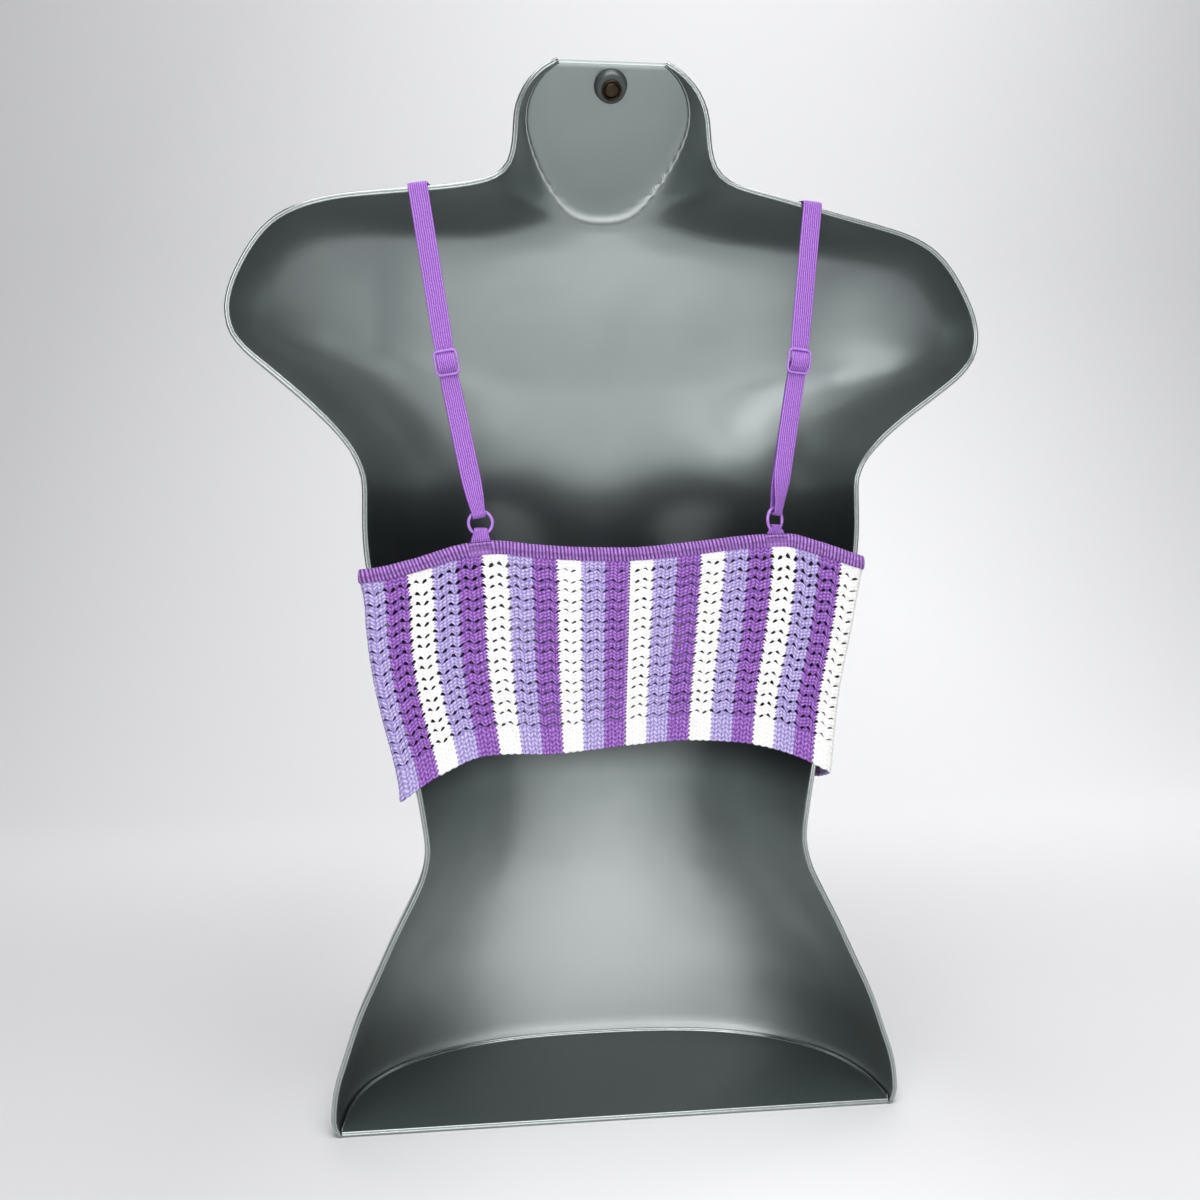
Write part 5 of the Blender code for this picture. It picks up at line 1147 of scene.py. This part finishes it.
elastic_cloth, wire_coat = knitted_elastic(), coated_wire()
for side, ring, slider, shoulder_x, ring_turn in STRAP_ROUTES:
    label, turned = ("left" if side < 0 else "right"), math.radians(ring_turn)
    level, up = np.array([math.cos(turned), math.sin(turned), 0.0]), np.array([0.0, 0.0, 1.0])
    line = strap_line(side, ring, slider, shoulder_x, turned)
    short_line = tab_line(ring, ring_turn)
    strap = elastic("elastic_strap_" + label, line, -1.0, elastic_cloth)
    tab = elastic("elastic_tab_" + label, short_line, 0.0, elastic_cloth)
    for piece, node, width, steps in ((strap, "strap_" + label, STRAP_WIDTH, len(line)),
                                      (tab, "tab_" + label, TAB_WIDTH, len(short_line))):
        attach(piece, "root")
        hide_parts(node)

    angle = np.linspace(0.0, 2.0 * math.pi, RING_STEPS, endpoint=False)[:, None]
    hoop = (np.array([ring[0], RING_DEPTH, ring[1]])
            + RING_RADIUS * (np.cos(angle) * level + np.sin(angle) * up))
    made = wire_loops("ring_wire_" + label, [(hoop, np.cross(level, up), True)], RING_WIRE_RADIUS,
                      wire_coat)
    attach(made, "root")
    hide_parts("ring_" + label)

    # The slider's frame is a rectangle of wire with bent corners, and its bar is welded across it.
    lean = 0.5 * (math.atan2(slider[0] - shoulder_x, SHOULDER_OVER_SLIDER)
                  + math.atan2(ring[0] - slider[0], slider[1] - ring[1]))
    across = np.array([math.cos(lean), 0.0, math.sin(lean)])
    up = np.array([-math.sin(lean), 0.0, math.cos(lean)])
    inset = SLIDER_WIRE_RADIUS + SLIDER_BEND
    corners = [arc_points((sign_x * (SLIDER_HALF_WIDTH - inset), sign_z * (SLIDER_HALF_HEIGHT - inset)),
                          SLIDER_BEND, start, start + 90.0, 9)
               for sign_x, sign_z, start in ((1, 1, 0.0), (-1, 1, 90.0), (-1, -1, 180.0), (1, -1, 270.0))]
    flat_path = evenly(np.concatenate(corners + [corners[0][:1]]), FRAME_STEPS, endpoint=False)
    centre = np.array([slider[0], SLIDER_DEPTH, slider[1]])
    rectangle = centre + flat_path[:, :1] * across + flat_path[:, 1:] * up
    bar_reach = SLIDER_HALF_WIDTH - SLIDER_WIRE_RADIUS
    bar = centre + np.linspace(-bar_reach, bar_reach, 12)[:, None] * across
    facing = np.array([0.0, 1.0, 0.0])
    made = wire_loops("slider_wire_" + label, [(rectangle, facing, True), (bar, facing, False)],
                      SLIDER_WIRE_RADIUS, wire_coat)
    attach(made, "root")
    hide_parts("slider_" + label)


# ============================================================ floor, backdrop, light and camera
# A pale seamless paper sweep that rises behind the form, with big soft lights over and beside the
# camera whose long reflections run down the form's gloss. None of this is part of the object.
def paper():
    """Matt studio paper with painted light: paler to the right of the middle than at the corners."""
    material, tree, shader = new_material("matt studio paper")
    where = add(tree, "TexCoord").outputs["Object"]
    # Painted light: a pool of light to the right of the middle, and painted shade towards the corners.
    distance = distance_from(tree, where, (-0.42, 0.0, -0.12), (0.62, 0.0, 0.62))
    colour = two_tone(tree, distance, "#FBFBFC", "#D8D8DA")
    # Behind the camera the light falls off, and the paper's near corners are a little shaded.
    place = add(tree, "SeparateXYZ", [("Vector", where)])
    nearness = eased(tree, place.outputs["Y"], -0.35, -1.7, 0.0, 0.6)
    corner = eased(tree, maths(tree, "ABSOLUTE", place.outputs["X"]), 0.03, 0.24, 0.0, 0.22)
    shaded = maths(tree, "MULTIPLY", corner, eased(tree, place.outputs["Y"], 0.1, 0.7, 1.0, 0.0))
    toned = blend(tree, maths(tree, "MAXIMUM", nearness, shaded), colour, linear("#202224"))
    tree.links.new(toned, shader.inputs["Base Color"])
    shader.inputs["Roughness"].default_value = 0.95
    shader.inputs["Specular IOR Level"].default_value = 0.1
    return material


# in metres
FLOOR_HALF_WIDTH, FLOOR_FRONT, SWEEP_START, SWEEP_RADIUS, SWEEP_TOP = 2.4, -1.55, 0.75, 0.9, 3.4
curve = np.linspace(0.0, math.pi / 2.0, 25)
profile = np.concatenate([
    [[FLOOR_FRONT, 0.0]],
    np.stack([SWEEP_START + SWEEP_RADIUS * np.sin(curve), SWEEP_RADIUS * (1.0 - np.cos(curve))], axis=-1),
    [[SWEEP_START + SWEEP_RADIUS, SWEEP_TOP]]])
sweep_points = np.stack([np.stack([np.full(len(profile), side), profile[:, 0], profile[:, 1]], axis=-1)
                         for side in (-FLOOR_HALF_WIDTH, FLOOR_HALF_WIDTH)], axis=1) / METRES
sweep_points[..., 1] += RIM_BACK
sweep = piece_from("paper_sweep", sweep_points.reshape(-1, 3),
                   grid_quads(len(profile), 2)[:, ::-1], paper())

# The room is light behind the camera, and dim at both sides, overhead and near the ground, so that the
# form's flanks and its foot plate stay dark.
world = bpy.data.worlds.new("studio")
world.use_nodes = True
tree = world.node_tree
direction = add(tree, "TexCoord").outputs["Generated"]
forwards = add(tree, "VectorMath", [(0, direction), (1, (0.1, -0.99, -0.1))], operation="DOT_PRODUCT")
front = ranged(tree, forwards.outputs["Value"], 0.1, 0.85, 0.12, 0.4)
upward = add(tree, "SeparateXYZ", [("Vector", direction)]).outputs["Z"]
level_only = maths(tree, "MULTIPLY", ranged(tree, upward, 0.04, 0.42, 1.0, 0.2),
                   ranged(tree, upward, -0.02, -0.2, 1.0, 0.2))
room = maths(tree, "MULTIPLY", front, level_only)
# Past the paper's edges the eye sees a pale wall.
seen = add(tree, "LightPath").outputs["Is Camera Ray"]
shown = add(tree, "Mix", [(0, seen), (2, room), (3, 0.72)]).outputs[0]
tree.links.new(shown, tree.nodes["Background"].inputs["Strength"])
tree.nodes["Background"].inputs["Color"].default_value = linear("#F2F5F7")
bpy.context.scene.world = world
bpy.context.scene.view_settings.view_transform = "Standard"

# name, place, aimed at, width, height, watts
SOFT_LIGHTS = [
    ("overhead", (0.0, -0.3, 2.4), (0.0, -0.1, 0.0), 2.0, 1.2, 35.0),
    ("floor_fill", (0.05, -0.85, 1.5), (0.05, -0.6, 0.0), 1.2, 0.6, 8.6),
    ("low_window", (-0.1, -1.45, 0.14), (0.0, 0.0, 0.15), 1.7, 0.24, 3.8),
    ("front_window", (-0.15, -1.5, 0.75), (0.0, 0.0, 0.2), 1.1, 0.5, 5.8),
    ("left_window", (-0.95, -1.4, 0.8), (0.0, 0.0, 0.3), 0.7, 1.2, 5.2),
    ("right_window", (0.9, -1.4, 0.7), (0.0, 0.0, 0.3), 0.6, 0.9, 1.7),
    ("backdrop", (0.55, 0.9, 2.2), (0.55, 1.6, 0.5), 1.8, 0.6, 13.0)]
for name, place, aim, width, height, watts in SOFT_LIGHTS:
    lamp = bpy.data.lights.new(name, "AREA")
    lamp.shape, lamp.size, lamp.size_y, lamp.energy = "RECTANGLE", width, height, watts
    holder = bpy.data.objects.new(name, lamp)
    holder.location = place
    holder.rotation_euler = (Vector(aim) - Vector(place)).to_track_quat("-Z", "Y").to_euler()
    holder.visible_camera = False
    bpy.context.scene.collection.objects.link(holder)

# The lens and the place come from the photograph's lines: 628 mm behind the rim, 80 mm to the left.
camera_data = bpy.data.cameras.new("camera")
camera_data.sensor_width, camera_data.lens = 36.0, 35.88
camera = bpy.data.objects.new("camera", camera_data)
right = np.array([0.99366, -0.11197, -0.00959])
up = np.array([0.01349, 0.03413, 0.99932])
forward = np.array([0.11157, 0.99312, -0.03542])
turned = np.eye(4)
turned[:3] = np.column_stack([right, up, -forward, (-0.0798, -0.6932, 0.3028)])
camera.matrix_world = Matrix(turned.tolist())
bpy.context.scene.collection.objects.link(camera)
bpy.context.scene.camera = camera
